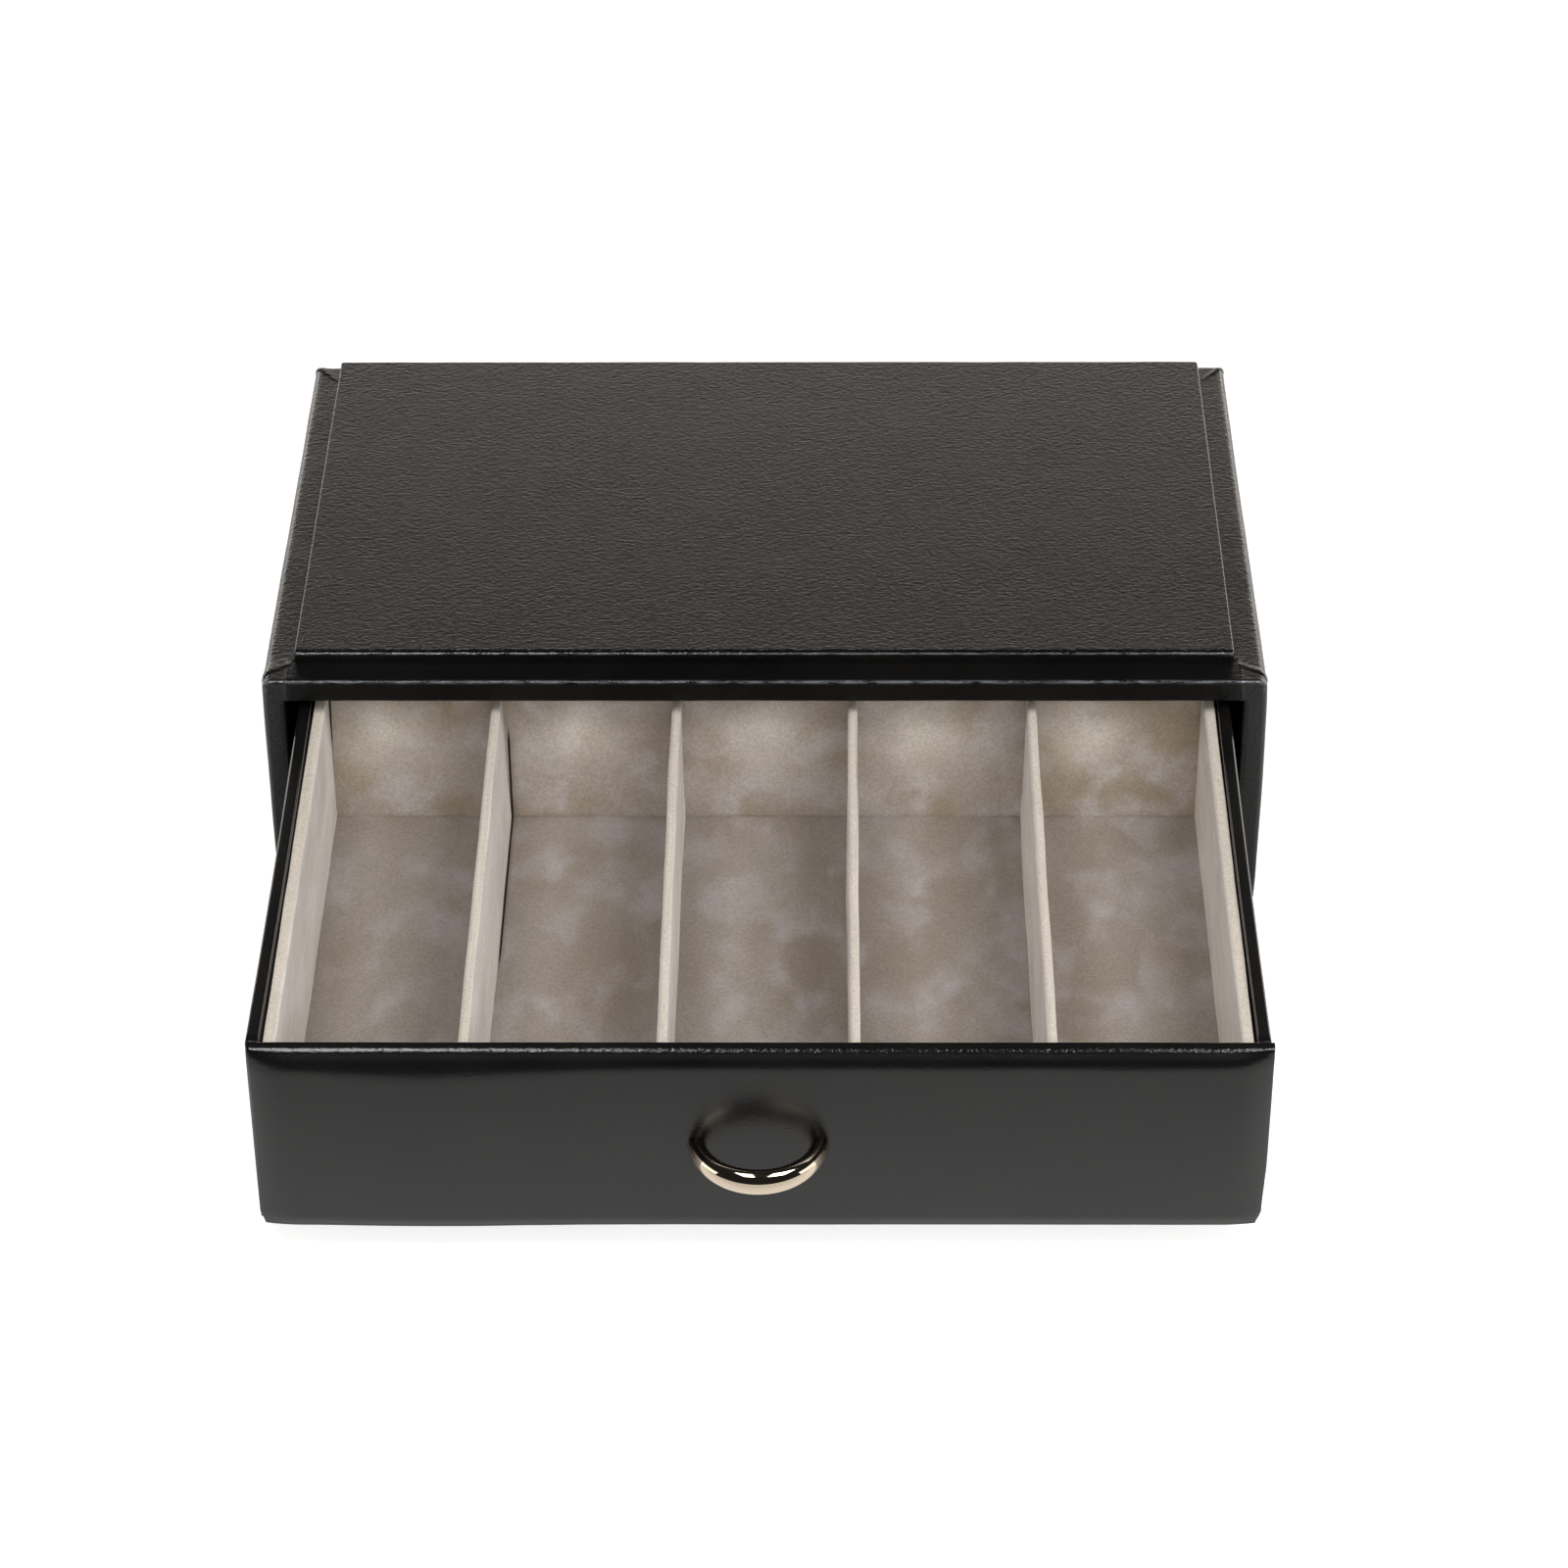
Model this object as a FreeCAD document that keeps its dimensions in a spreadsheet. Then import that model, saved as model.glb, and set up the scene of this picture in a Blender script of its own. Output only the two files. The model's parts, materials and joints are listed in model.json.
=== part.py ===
import FreeCAD, Part
import math
import os

import Sketcher

# Storage box for eyeglasses: a leather-covered casing, open at the front, and a drawer with a
# padded front, a bow handle and a suede insert with five compartments.
#
# Millimetres, +Z up, +X to the right as one looks at the front, +Y to the back.
# The origin is on the floor, under the middle of the casing's front edge.
# The drawer is shown pulled out. Its pieces are drawn as if it were closed, with the front's
# edge in the plane of the casing's front, and each is then placed forward.

doc = FreeCAD.newDocument("eyeglasses_box")
Vector = FreeCAD.Vector

# Sizes that can be set by themselves

SIZES = {
    # casing
    "case_width": 345.0,          # outside
    "case_depth": 210.0,          # front edge to back
    "leather": 0.9,               # covering leather of the casing
    "lining": 0.9,                # paper and cloth linings
    "side_board": 5.6,            # boards, by thickness
    "top_board": 6.6,
    "base_board": 6.4,
    "back_board": 2.4,
    "recess_height": 5.0,         # hollow under the base, which takes the panel of a box below
    "rail_depth": 10.5,           # front rail that closes the hollow, leather included
    "seam_step": 1.1,             # from the mouth's side to the seam in the front-edge leather
    "side_turn": 8.25,            # how far the side leather runs under the raised panel
    "front_turn": 8.0,            # and the leather of the front edge
    "back_turn": 5.4,             # and the leather of the back
    "mouth_turn": 12.0,           # how far the leather is turned in at the mouth
    "post_radius": 2.6,           # upright outer corners
    "shoulder_radius": 2.4,       # long top edges at the sides
    "lip_radius": 0.9,            # top edges at the front and back
    "foot_radius": 0.7,           # outer edges of the rim that the box stands on
    "mouth_radius": 0.8,          # edges round the mouth
    "ridge_height": 0.3,          # how far a mitred fold at a top corner stands up
    "ridge_tip": 0.4,             # its width at the raised panel's corner
    "ridge_end": 2.2,             # and at the casing's corner
    "ridge_start": 1.5,           # from the raised panel to its tip
    "ridge_back_start": 0.4,      # the same at the back
    "ridge_corner": 3.0,          # from the front or back edge to its end
    "ridge_back_corner": 1.2,
    # raised panel
    "panel_side": 10.25,          # margins beside it
    "panel_front": 11.0,          # margin in front of it
    "panel_back": 4.6,            # margin behind it
    "panel_board": 3.6,
    "panel_radius": 1.0,          # its top edges
    "panel_corner": 1.6,          # its upright corners
    # drawer
    "kept_in": 20.2,              # how much of its length is left in the casing as shown
    "run_gap": 0.5,               # under the drawer
    "head_gap": 3.0,              # over the drawer
    "drawer_height": 73.0,
    "side_gap": 4.1,              # between the drawer's walls and the mouth
    "rear_gap": 1.1,              # behind the drawer when it is closed
    "drawer_leather": 0.9,
    "drawer_side_board": 2.5,
    "drawer_turn": 25.0,          # how far the leather is turned down inside
    "rim_radius": 1.0,            # its upper edges
    "rear_leather": 0.8,
    "rear_board": 1.6,
    "bottom_board": 5.0,
    # padded front
    "front_gap": 2.85,            # between the front's ends and the mouth
    "front_foam": 0.5,            # foam at the front's edge
    "front_board": 2.0,
    "front_backing": 0.8,         # leather on the front's inner side
    "crown_height": 1.8,          # how far the pad stands out in the middle
    "crown_full": 1.65,           # and where its long level part ends
    "crown_end": 0.95,            # and where its steep end begins
    "crown_edge": 0.15,           # and at the ends
    "crown_run": 60.0,            # from each end to the long level part
    "crown_shoulder": 12.0,       # length of the steep part at each end
    "front_radius": 0.8,          # edge round the face
    "fold_in": 1.8,               # how far the folded leather draws the lower corners in
    "fold_rise": 5.5,             # how far up that reaches
    # bow handle
    "handle_lift": 0.6,           # its middle over the middle of the front
    "bow_radius": 19.5,           # middle line of the bow
    "bow_foot": 6.2,              # bar at the feet
    "bow_middle": 8.2,            # bar in the middle
    "foot_seat": 0.1,             # between foot and leather
    "screw_width": 3.0,
    "screw_reach": 6.0,           # how far the screws go into the feet
    "screw_head": 6.0,
    "screw_head_height": 2.0,
    "thread_play": 0.1,           # round a screw in its bore in the foot
    "bore_end": 1.0,              # bore past the screw's end
    "hole_play": 0.4,             # round a screw in its hole through the front
    "washer_width": 8.0,
    "washer_height": 0.5,
    # insert
    "insert_gap": 0.9,            # between the insert and the drawer's side walls
    "insert_end_gap": 0.3,        # and at its front and back
    "insert_drop": 2.7,           # its upper edge under the drawer's rim
    "floor_foam": 7.0,
    "floor_board": 3.5,
    "side_lining": 3.8,
    "back_lining": 2.8,
    "divider_board": 3.2,
    "suede_radius": 1.3,          # rounded upper edges
    "pocket_side": 1.0,           # round a washer in its hollow behind the front lining
    "pocket_end": 0.4,            # behind a screw head there
    "pocket_wall": 0.4,           # what is left of the front lining there
}
COMPARTMENTS = 5

sheet = doc.addObject("Spreadsheet::Sheet", "sizes")
for row, (alias, number) in enumerate(SIZES.items(), start=1):
    sheet.set("A%d" % row, alias)
    sheet.set("B%d" % row, str(number))
    sheet.setAlias("B%d" % row, alias)
doc.recompute()


class Size:
    """A length as a number and as an expression on the cells."""

    def __init__(self, number, text):
        self.number = number
        self.text = text

    def __add__(self, other):
        other = as_size(other)
        return Size(self.number + other.number, "(%s + %s)" % (self.text, other.text))

    def __sub__(self, other):
        other = as_size(other)
        return Size(self.number - other.number, "(%s - %s)" % (self.text, other.text))

    def __mul__(self, other):
        other = as_size(other)
        return Size(self.number * other.number, "(%s * %s)" % (self.text, other.text))

    def __truediv__(self, other):
        other = as_size(other)
        return Size(self.number / other.number, "(%s / %s)" % (self.text, other.text))

    def __neg__(self):
        return as_size(0) - self

    __radd__ = __add__

    def __rsub__(self, other):
        return as_size(other) - self

    def __rmul__(self, other):
        return self * other


def as_size(value):
    """A plain number as a Size."""
    return value if isinstance(value, Size) else Size(float(value), "%.6f" % value)


def cell(alias):
    """The Size held in one cell."""
    return Size(float(sheet.get(alias)), "sizes." + alias)


leather = cell("leather")
lining = cell("lining")
depth = cell("case_depth")

# Sizes that follow: casing, from the middle outwards, from the front to the back, from the
# floor upwards

half = cell("case_width") / 2
board_half = half - leather - cell("side_board")
mouth = board_half - lining
seam = mouth - cell("seam_step")
panel_half = half - cell("panel_side")
turn = panel_half - cell("side_turn")
back_board_front = depth - leather - cell("back_board")
mouth_back = back_board_front - lining
rail_back = cell("rail_depth") - leather
panel_front = cell("panel_front")
panel_end = depth - cell("panel_back")
front_turn_end = panel_front + cell("front_turn")
back_turn_end = panel_end - cell("back_turn")
base_low = cell("recess_height") + leather
base_high = base_low + cell("base_board")
run = base_high + lining
drawer_low = run + cell("run_gap")
drawer_high = drawer_low + cell("drawer_height")
ceiling = drawer_high + cell("head_gap")
top_low = ceiling + lining
top_high = top_low + cell("top_board")
case_height = top_high + leather
panel_board_high = case_height + cell("panel_board")
panel_high = panel_board_high + leather

# Drawer, closed

skin = cell("drawer_leather")
body_half = mouth - cell("side_gap")
wall_board_outer = body_half - skin
wall_board_inner = wall_board_outer - cell("drawer_side_board")
wall_inner = wall_board_inner - skin
front_half = mouth - cell("front_gap")
front_board_face = skin + cell("front_foam")
front_board_back = front_board_face + cell("front_board")
front_back = front_board_back + cell("front_backing")
rear = mouth_back - cell("rear_gap")
rear_board_back = rear - cell("rear_leather")
rear_board_front = rear_board_back - cell("rear_board")
rear_front = rear_board_front - cell("rear_leather")
board_low = drawer_low + skin
board_high = drawer_high - skin
bottom_high = board_low + cell("bottom_board")
foam_high = bottom_high + cell("floor_foam")
floor_high = foam_high + cell("floor_board")
insert_high = drawer_high - cell("insert_drop")
insert_half = wall_inner - cell("insert_gap")
insert_front = front_back + cell("insert_end_gap")
insert_back = rear_front - cell("insert_end_gap")
room_half = insert_half - cell("side_lining")
room_back = insert_back - cell("back_lining")
bow = cell("bow_radius")
handle_height = (drawer_low + drawer_high) / 2 + cell("handle_lift")
foot_plane = -cell("crown_height") - cell("foot_seat")
screw_end = foot_plane - cell("screw_reach")
washer_back = front_back + cell("washer_height")
head_back = washer_back + cell("screw_head_height")
pocket_back = head_back + cell("pocket_end")
room_front = pocket_back + cell("pocket_wall")
drawer_open = rear - cell("kept_in")

PAST = 2.0                        # how far a cutting solid runs past what it cuts
INTO = 0.5                        # how far a field of leather reaches into the board behind it
CLOSE = 0.05                      # lengths nearer to each other than this count as equal

SIDES = (("left", -1), ("right", 1))


def across(sign, low, high):
    """Limits to the right of the middle, or the same to the left of it."""
    return (low, high) if sign > 0 else (-high, -low)


def box(name, x, y, z):
    """A block between two limits along each axis."""
    item = doc.addObject("Part::Box", name)
    for (low, high), length, axis in ((x, "Length", "x"), (y, "Width", "y"), (z, "Height", "z")):
        low = as_size(low)
        item.setExpression(length, (high - low).text)
        item.setExpression("Placement.Base." + axis, low.text)
    return item


def rod(name, x, y, z, width):
    """A cylinder along Y between two limits, centred at x and z."""
    item = doc.addObject("Part::Cylinder", name)
    item.Placement.Rotation = FreeCAD.Rotation(Vector(1, 0, 0), -90)
    item.setExpression("Radius", (width / 2).text)
    item.setExpression("Height", (y[1] - y[0]).text)
    for axis, value in (("x", x), ("y", y[0]), ("z", z)):
        item.setExpression("Placement.Base." + axis, as_size(value).text)
    return item


def join(name, items):
    """Several solids as one."""
    item = doc.addObject("Part::MultiFuse", name)
    item.Shapes = items
    return item


def common(name, first, second):
    """The material that two solids share."""
    item = doc.addObject("Part::Common", name)
    item.Base = first
    item.Tool = second
    return item


def cut(name, base, tool):
    """A solid without the material of another."""
    item = doc.addObject("Part::Cut", name)
    item.Base = base
    item.Tool = tool
    return item


def round_edges(name, base, choose):
    """Round the edges for which choose(bounds of the edge, bounds of the solid) is a radius."""
    doc.recompute()
    item = doc.addObject("Part::Fillet", name)
    item.Base = base
    bounds = base.Shape.BoundBox
    chosen = []
    for index, edge in enumerate(base.Shape.Edges, start=1):
        radius = choose(edge.BoundBox, bounds)
        if radius is not None:
            chosen.append((index, radius.number, radius.number))
    item.Edges = chosen
    return item


def near(first, second):
    """Whether two numbers are the same to within the model's precision."""
    return abs(first - second) < CLOSE


def upright(edge):
    """Whether an edge with these bounds stands upright."""
    return near(edge.XLength, 0) and near(edge.YLength, 0)


def lengthwise(edge):
    """Whether an edge with these bounds runs from the front to the back."""
    return near(edge.XLength, 0) and near(edge.ZLength, 0)


def plane(body, role):
    """One of a body's own origin planes."""
    return next(item for item in body.Origin.OriginFeatures if item.Role == role)


def sketch_on(body, name, role, offset=None):
    """An empty sketch on an origin plane, moved along the plane's normal."""
    item = body.newObject("Sketcher::SketchObject", name)
    item.AttachmentSupport = (plane(body, role), [""])
    item.MapMode = "FlatFace"
    if offset is not None:
        item.setExpression("AttachmentOffset.Base.z", as_size(offset).text)
    return item


def tie(sketch, geometry, end, across, up):
    """Tie a point of a sketch to its distances from the sketch's origin, or to one of them."""
    for kind, value in (("DistanceX", across), ("DistanceY", up)):
        if value is None:
            continue
        value = as_size(value)
        constraint = Sketcher.Constraint(kind, -1, 1, geometry, end, value.number)
        number = sketch.addConstraint(constraint)
        sketch.setExpression("Constraints[%d]" % number, value.text)


def spot(corner):
    """A corner (across, up) as a point."""
    return Vector(as_size(corner[0]).number, as_size(corner[1]).number, 0)


def outline(sketch, corners):
    """A closed outline through corners (across, up).

    A corner with a third entry is reached by an arc through the point given there.
    """
    for start, end in zip(corners, corners[1:] + corners[:1]):
        if len(end) == 3:
            arc = Part.Arc(spot(start), spot(end[2]), spot(end))
            made = sketch.addGeometry(arc, False)
            forward = sketch.getPoint(made, 1).distanceToPoint(spot(start)) < 1e-6
            ends = (1, 2) if forward else (2, 1)
            tie(sketch, made, ends[0], start[0], start[1])
            tie(sketch, made, ends[1], end[0], end[1])
            top = sketch.addGeometry(Part.Point(spot(end[2])), True)
            tie(sketch, top, 1, end[2][0], end[2][1])
            sketch.addConstraint(Sketcher.Constraint("PointOnObject", top, 1, made))
        else:
            made = sketch.addGeometry(Part.LineSegment(spot(start), spot(end)), False)
            tie(sketch, made, 1, start[0], start[1])
            tie(sketch, made, 2, end[0], end[1])


def disc(sketch, centre, width):
    """A circle round a centre (across, up)."""
    made = sketch.addGeometry(
        Part.Circle(spot(centre), Vector(0, 0, 1), width.number / 2), False)
    tie(sketch, made, 3, centre[0], centre[1])
    number = sketch.addConstraint(Sketcher.Constraint("Radius", made, width.number / 2))
    sketch.setExpression("Constraints[%d]" % number, (width / 2).text)


def pad(body, name, sketch, length, reverse=False):
    """Extrude a sketch."""
    item = body.newObject("PartDesign::Pad", name)
    item.Profile = sketch
    item.setExpression("Length", length.text)
    item.Reversed = reverse
    return item


NODES = {}


def node(name, item, moves=False):
    """Keep a solid as a piece of the object, and pull it out if it belongs to the drawer."""
    item.Label = name
    if moves:
        closed = dict(item.ExpressionEngine).get(".Placement.Base.y", "0")
        item.setExpression("Placement.Base.y", closed + " - " + drawer_open.text)
    NODES[name] = item
    return item


# Outer form of the casing: its front view run to the back, and all outer edges rounded

casing_form = doc.addObject("PartDesign::Body", "casing_form")
front_view = sketch_on(casing_form, "casing_front_view", "XZ_Plane")
outline(front_view, [(-half, 0), (half, 0), (half, case_height), (-half, case_height)])
pad(casing_form, "casing_run", front_view, depth, reverse=True)


def casing_edge(edge, whole):
    """Radius of an outer edge of the casing."""
    if upright(edge):
        return cell("post_radius")
    if near(edge.ZMax, whole.ZMin):
        return cell("foot_radius")
    return cell("shoulder_radius") if lengthwise(edge) else cell("lip_radius")


casing_round = round_edges("casing_round", casing_form, casing_edge)

# Form of the boards under the leather: the same corners, smaller by the leather

core_block = box("core_block", (-half + leather, half - leather),
                 (leather, depth - leather), (leather, top_high))


def core_edge(edge, whole):
    """Radius of an edge of the boards."""
    if upright(edge):
        return cell("post_radius") - leather
    if near(edge.ZMin, whole.ZMax) and lengthwise(edge):
        return cell("shoulder_radius") - leather
    return None


core = round_edges("core_round", core_block, core_edge)

# Casing boards


def board(name, x, y, z):
    """A board of the casing, trimmed to the rounded form under the leather."""
    return node(name, common(name, core, box(name + "_block", x, y, z)))


outer = half + PAST
behind = depth + PAST
top_board = board("casing_top_board", (-outer, outer), (leather, behind), (top_low, top_high))
left_board = board("casing_left_board", (-outer, -board_half), (leather, behind),
                   (leather, top_low))
right_board = board("casing_right_board", (board_half, outer), (leather, behind),
                    (leather, top_low))
back_board = board("casing_back_board", (-board_half, board_half), (back_board_front, behind),
                   (leather, top_low))
base_board = board("casing_base_board", (-board_half, board_half), (leather, back_board_front),
                   (base_low, base_high))
rail_board = board("base_front_rail", (-board_half, board_half), (leather, rail_back),
                   (leather, base_low))

# Linings of the mouth and of the hollow underneath

turned = cell("mouth_turn")
ceiling_lining = node("ceiling_lining", box(
    "ceiling_lining", (-mouth, mouth), (turned, back_board_front), (ceiling, top_low)))
floor_lining = node("run_lining", box(
    "run_lining", (-mouth, mouth), (turned, back_board_front), (base_high, run)))
left_lining = node("mouth_left_lining", box(
    "mouth_left_lining", (-board_half, -mouth), (turned, back_board_front),
    (base_high, top_low)))
right_lining = node("mouth_right_lining", box(
    "mouth_right_lining", (mouth, board_half), (turned, back_board_front),
    (base_high, top_low)))
back_lining = node("mouth_back_lining", box(
    "mouth_back_lining", (-mouth, mouth), (mouth_back, back_board_front), (run, ceiling)))
base_lining = node("base_lining", box(
    "base_lining", (-mouth, mouth), (cell("rail_depth"), mouth_back),
    (cell("recess_height"), base_low)))

# Leather under the rim that the box stands on, turned up into the hollow

rail = cell("rail_depth")
rims = []
for name, x, y, up_x, up_y in (
        ("left_rim_cover", (-outer, -mouth), (-PAST, behind),
         (-board_half, -mouth), (rail_back, back_board_front)),
        ("right_rim_cover", (mouth, outer), (-PAST, behind),
         (mouth, board_half), (rail_back, back_board_front)),
        ("front_rim_cover", (-mouth, mouth), (-PAST, rail),
         (-mouth, mouth), (rail_back, rail)),
        ("back_rim_cover", (-mouth, mouth), (mouth_back, behind),
         (-mouth, mouth), (mouth_back, back_board_front))):
    strip = join(name + "_field", [
        box(name + "_under", x, y, (0, leather)),
        box(name + "_up", up_x, up_y, (leather, base_low)),
    ])
    rims.append(node(name, common(name, casing_round, strip)))

# Covering leather: the outer form without the mouth, the hollow and all that lies underneath,
# divided along the real seams

mouth_space = box("mouth_space", (-mouth, mouth), (-PAST, mouth_back), (run, ceiling))
hollow_space = box("hollow_space", (-mouth, mouth), (rail, mouth_back),
                   (-PAST, cell("recess_height")))
casing_open = cut("casing_open", casing_round, mouth_space)


def mouth_edge(edge, whole):
    """Radius of an edge round the mouth."""
    in_front = near(edge.YMin, 0) and near(edge.YMax, 0)
    inside_sides = -mouth.number - CLOSE < edge.XMin and edge.XMax < mouth.number + CLOSE
    above_run = run.number - CLOSE < edge.ZMin and edge.ZMax < ceiling.number + CLOSE
    return cell("mouth_radius") if in_front and inside_sides and above_run else None


casing_hide = round_edges("casing_hide", casing_open, mouth_edge)
inside = join("casing_inside", [
    top_board, left_board, right_board, back_board, base_board, rail_board,
    ceiling_lining, floor_lining, left_lining, right_lining, back_lining, base_lining,
    hollow_space] + rims)
crest = case_height + PAST
under_top = top_high - INTO
behind_back = depth - leather - INTO
above = (leather, crest)


def cover(name, blocks):
    """The leather that lies in the given blocks."""
    field = blocks[0] if len(blocks) == 1 else join(name + "_field", blocks)
    return cut(name, common(name + "_hide", casing_hide, field), inside)


# Mitred folds: at each top corner the leather is gathered into a ridge that runs from the
# raised panel's corner to the casing's corner and grows wider on the way

lifted = doc.addObject("Part::Compound", "casing_lifted")
lifted.Links = [casing_round]
lifted.setExpression("Placement.Base.z", cell("ridge_height").text)


def ridge(name, sign, tip, end):
    """A mitred fold from its tip to the casing's corner, both by their distance in depth."""
    body = doc.addObject("PartDesign::Body", name + "_plan")
    plan = sketch_on(body, name + "_outline", "XY_Plane", top_high)
    tip_half = cell("ridge_tip") / 2
    end_half = cell("ridge_end") / 2
    outline(plan, [
        (sign * seam, tip - tip_half),
        (sign * half, end - end_half),
        (sign * half, end + end_half),
        (sign * seam, tip + tip_half),
    ])
    pad(body, name + "_height", plan, leather + cell("ridge_height"))
    return cut(name, common(name + "_strip", lifted, body), top_board)


for name, sign in (("left_cover", -1), ("right_cover", 1)):
    hide = cover(name + "_flat", [
        box(name + "_side", across(sign, seam, outer), (-PAST, behind), above),
        box(name + "_turn", across(sign, turn, seam), (panel_front, behind),
            (under_top, crest)),
        box(name + "_return", across(sign, turn, seam), (behind_back, behind), above),
    ])
    node(name, join(name, [
        hide,
        ridge(name + "_front_fold", sign, panel_front - cell("ridge_start"),
              cell("ridge_corner") + cell("ridge_end") / 2),
        ridge(name + "_back_fold", sign, panel_end - cell("ridge_back_start"),
              depth - cell("ridge_back_corner") - cell("ridge_end") / 2),
    ]))
node("back_cover", cover("back_cover", [
    box("back_cover_face", (-turn, turn), (behind_back, behind), above),
    box("back_cover_turn", (-turn, turn), (back_turn_end, behind),
        (under_top, crest)),
]))
node("front_edge_cover", cover("front_edge_cover", [
    box("front_edge_face", (-seam, seam), (-PAST, panel_front), (ceiling - PAST, crest)),
    box("front_edge_under_panel", (-turn, turn), (-PAST, front_turn_end),
        (under_top, crest)),
    box("front_edge_return", (-seam, seam), (-PAST, turned), (ceiling, top_low)),
]))
node("base_edge_cover", cover("base_edge_cover", [
    box("base_edge_face", (-seam, seam), (-PAST, turned), (leather, run)),
]))

# Raised panel, and the card that levels the top under it

node("panel_infill", box(
    "panel_infill", (-turn, turn), (front_turn_end, back_turn_end), (top_high, case_height)))
panel_board = node("top_panel_board", box(
    "top_panel_board", (-panel_half + leather, panel_half - leather),
    (panel_front + leather, panel_end - leather), (case_height, panel_board_high)))
panel_block = box("panel_block", (-panel_half, panel_half), (panel_front, panel_end),
                  (case_height, panel_high))


def panel_edge(edge, whole):
    """Radius of an edge of the raised panel."""
    if upright(edge):
        return cell("panel_corner")
    if near(edge.ZMin, whole.ZMax):
        return cell("panel_radius")
    return None


node("top_panel_cover", cut(
    "top_panel_cover", round_edges("panel_round", panel_block, panel_edge), panel_board))

# Padded front of the drawer: a loft through upright sections whose face stands out least at
# the ends and most in the middle, with the two lower corners drawn in


def front_form(name, inset):
    """The front's solid, or the same with the leather taken off all round."""
    body = doc.addObject("PartDesign::Body", name)
    end = front_half - inset
    low = drawer_low + inset
    high = drawer_high - inset
    back = front_back - (cell("front_backing") if inset is skin else 0)
    middle = (low + high) / 2
    stations = [
        (end, cell("crown_edge")),
        (end - cell("crown_shoulder"), cell("crown_end")),
        (end - cell("crown_run"), cell("crown_full")),
    ]
    stops = [(-place, crown) for place, crown in stations]
    stops += [(0, cell("crown_height"))]
    stops += [(place, crown) for place, crown in reversed(stations)]
    sections = []
    for index, (place, crown) in enumerate(stops):
        sketch = sketch_on(body, "%s_section_%d" % (name, index), "YZ_Plane", place)
        face = as_size(inset)
        outline(sketch, [
            (back, low),
            (back, high),
            (face, high),
            (face, low, (face - crown, middle)),
        ])
        sections.append(sketch)
    loft = body.newObject("PartDesign::AdditiveLoft", name + "_loft")
    loft.Profile = sections[0]
    loft.Sections = sections[1:]
    for sign, side in ((-1, "left"), (1, "right")):
        corner = sketch_on(body, "%s_%s_fold" % (name, side), "XZ_Plane")
        outline(corner, [
            (sign * (end + PAST), low - PAST),
            (sign * (end + PAST), low + cell("fold_rise")),
            (sign * end, low + cell("fold_rise")),
            (sign * (end - cell("fold_in")), low),
            (sign * (end - cell("fold_in")), low - PAST),
        ])
        fold = body.newObject("PartDesign::Pocket", "%s_%s_cut" % (name, side))
        fold.Profile = corner
        fold.Type = "ThroughAll"
        fold.Midplane = True
    return body


front_solid = front_form("front_solid", 0)


def front_edge(edge, whole):
    """Radius of an edge round the face of the padded front."""
    return cell("front_radius") if edge.YMax < CLOSE else None


front_round = round_edges("front_round", front_solid, front_edge)
front_core = front_form("front_core", skin)
screw_holes = join("screw_holes", [
    rod("screw_hole_%s" % side, sign * bow, (screw_end, front_back + PAST), handle_height,
        cell("screw_width") + 2 * cell("hole_play"))
    for side, sign in SIDES])
front_board_block = box(
    "front_board_block", (-front_half, front_half), (front_board_face, front_board_back),
    (drawer_low, drawer_high))
core_drilled = cut("front_core_drilled", front_core, screw_holes)
node("drawer_front_board",
     common("drawer_front_board", core_drilled, front_board_block), moves=True)
node("drawer_front_pad", cut("drawer_front_pad", core_drilled, front_board_block), moves=True)
node("drawer_front_cover", cut(
    "drawer_front_cover", cut("front_cover_hollow", front_round, front_core), screw_holes),
    moves=True)

# Drawer walls, bottom and their leather

for side, sign in SIDES:
    node("drawer_%s_board" % side, box(
        "drawer_%s_board" % side, across(sign, wall_board_inner, wall_board_outer),
        (front_back, rear_front), (board_low, board_high)), moves=True)
    name = "drawer_%s_cover" % side
    body = doc.addObject("PartDesign::Body", name)
    section = sketch_on(body, name + "_section", "XZ_Plane", -front_back)
    rim = cell("rim_radius")
    bend = rim * (1 - math.sqrt(0.5))
    corners = [
        (body_half, drawer_low),
        (body_half, drawer_high - rim),
        (body_half - rim, drawer_high, (body_half - bend, drawer_high - bend)),
        (wall_inner + rim, drawer_high),
        (wall_inner, drawer_high - rim, (wall_inner + bend, drawer_high - bend)),
        (wall_inner, drawer_high - cell("drawer_turn")),
        (wall_board_inner, drawer_high - cell("drawer_turn")),
        (wall_board_inner, board_high),
        (wall_board_outer, board_high),
        (wall_board_outer, drawer_low),
    ]
    outline(section, [
        (sign * corner[0], corner[1]) if len(corner) == 2
        else (sign * corner[0], corner[1], (sign * corner[2][0], corner[2][1]))
        for corner in corners])
    pad(body, name + "_run", section, rear_front - front_back, reverse=True)
    node(name, body, moves=True)

rear_board = node("drawer_back_board", box(
    "drawer_back_board", (-wall_board_outer, wall_board_outer),
    (rear_board_front, rear_board_back), (board_low, board_high)), moves=True)
rear_block = box("rear_block", (-body_half, body_half), (rear_front, rear),
                 (drawer_low, drawer_high))
rear_fill = box("rear_fill", (-wall_board_outer, wall_board_outer),
                (rear_board_front, rear_board_back), (board_low, board_high))
node("drawer_back_cover", cut("drawer_back_cover", round_edges(
    "rear_round", rear_block,
    lambda edge, whole: cell("front_radius") if near(edge.YMin, whole.YMax) else None),
    rear_fill), moves=True)
node("drawer_bottom_board", box(
    "drawer_bottom_board", (-wall_board_inner, wall_board_inner), (front_back, rear_front),
    (board_low, bottom_high)), moves=True)
node("drawer_base_cover", box(
    "drawer_base_cover", (-wall_board_outer, wall_board_outer), (front_back, rear_front),
    (drawer_low, board_low)), moves=True)

# Bow handle: a round bar, thicker in the middle, swept along a half circle, bored for screws

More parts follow.
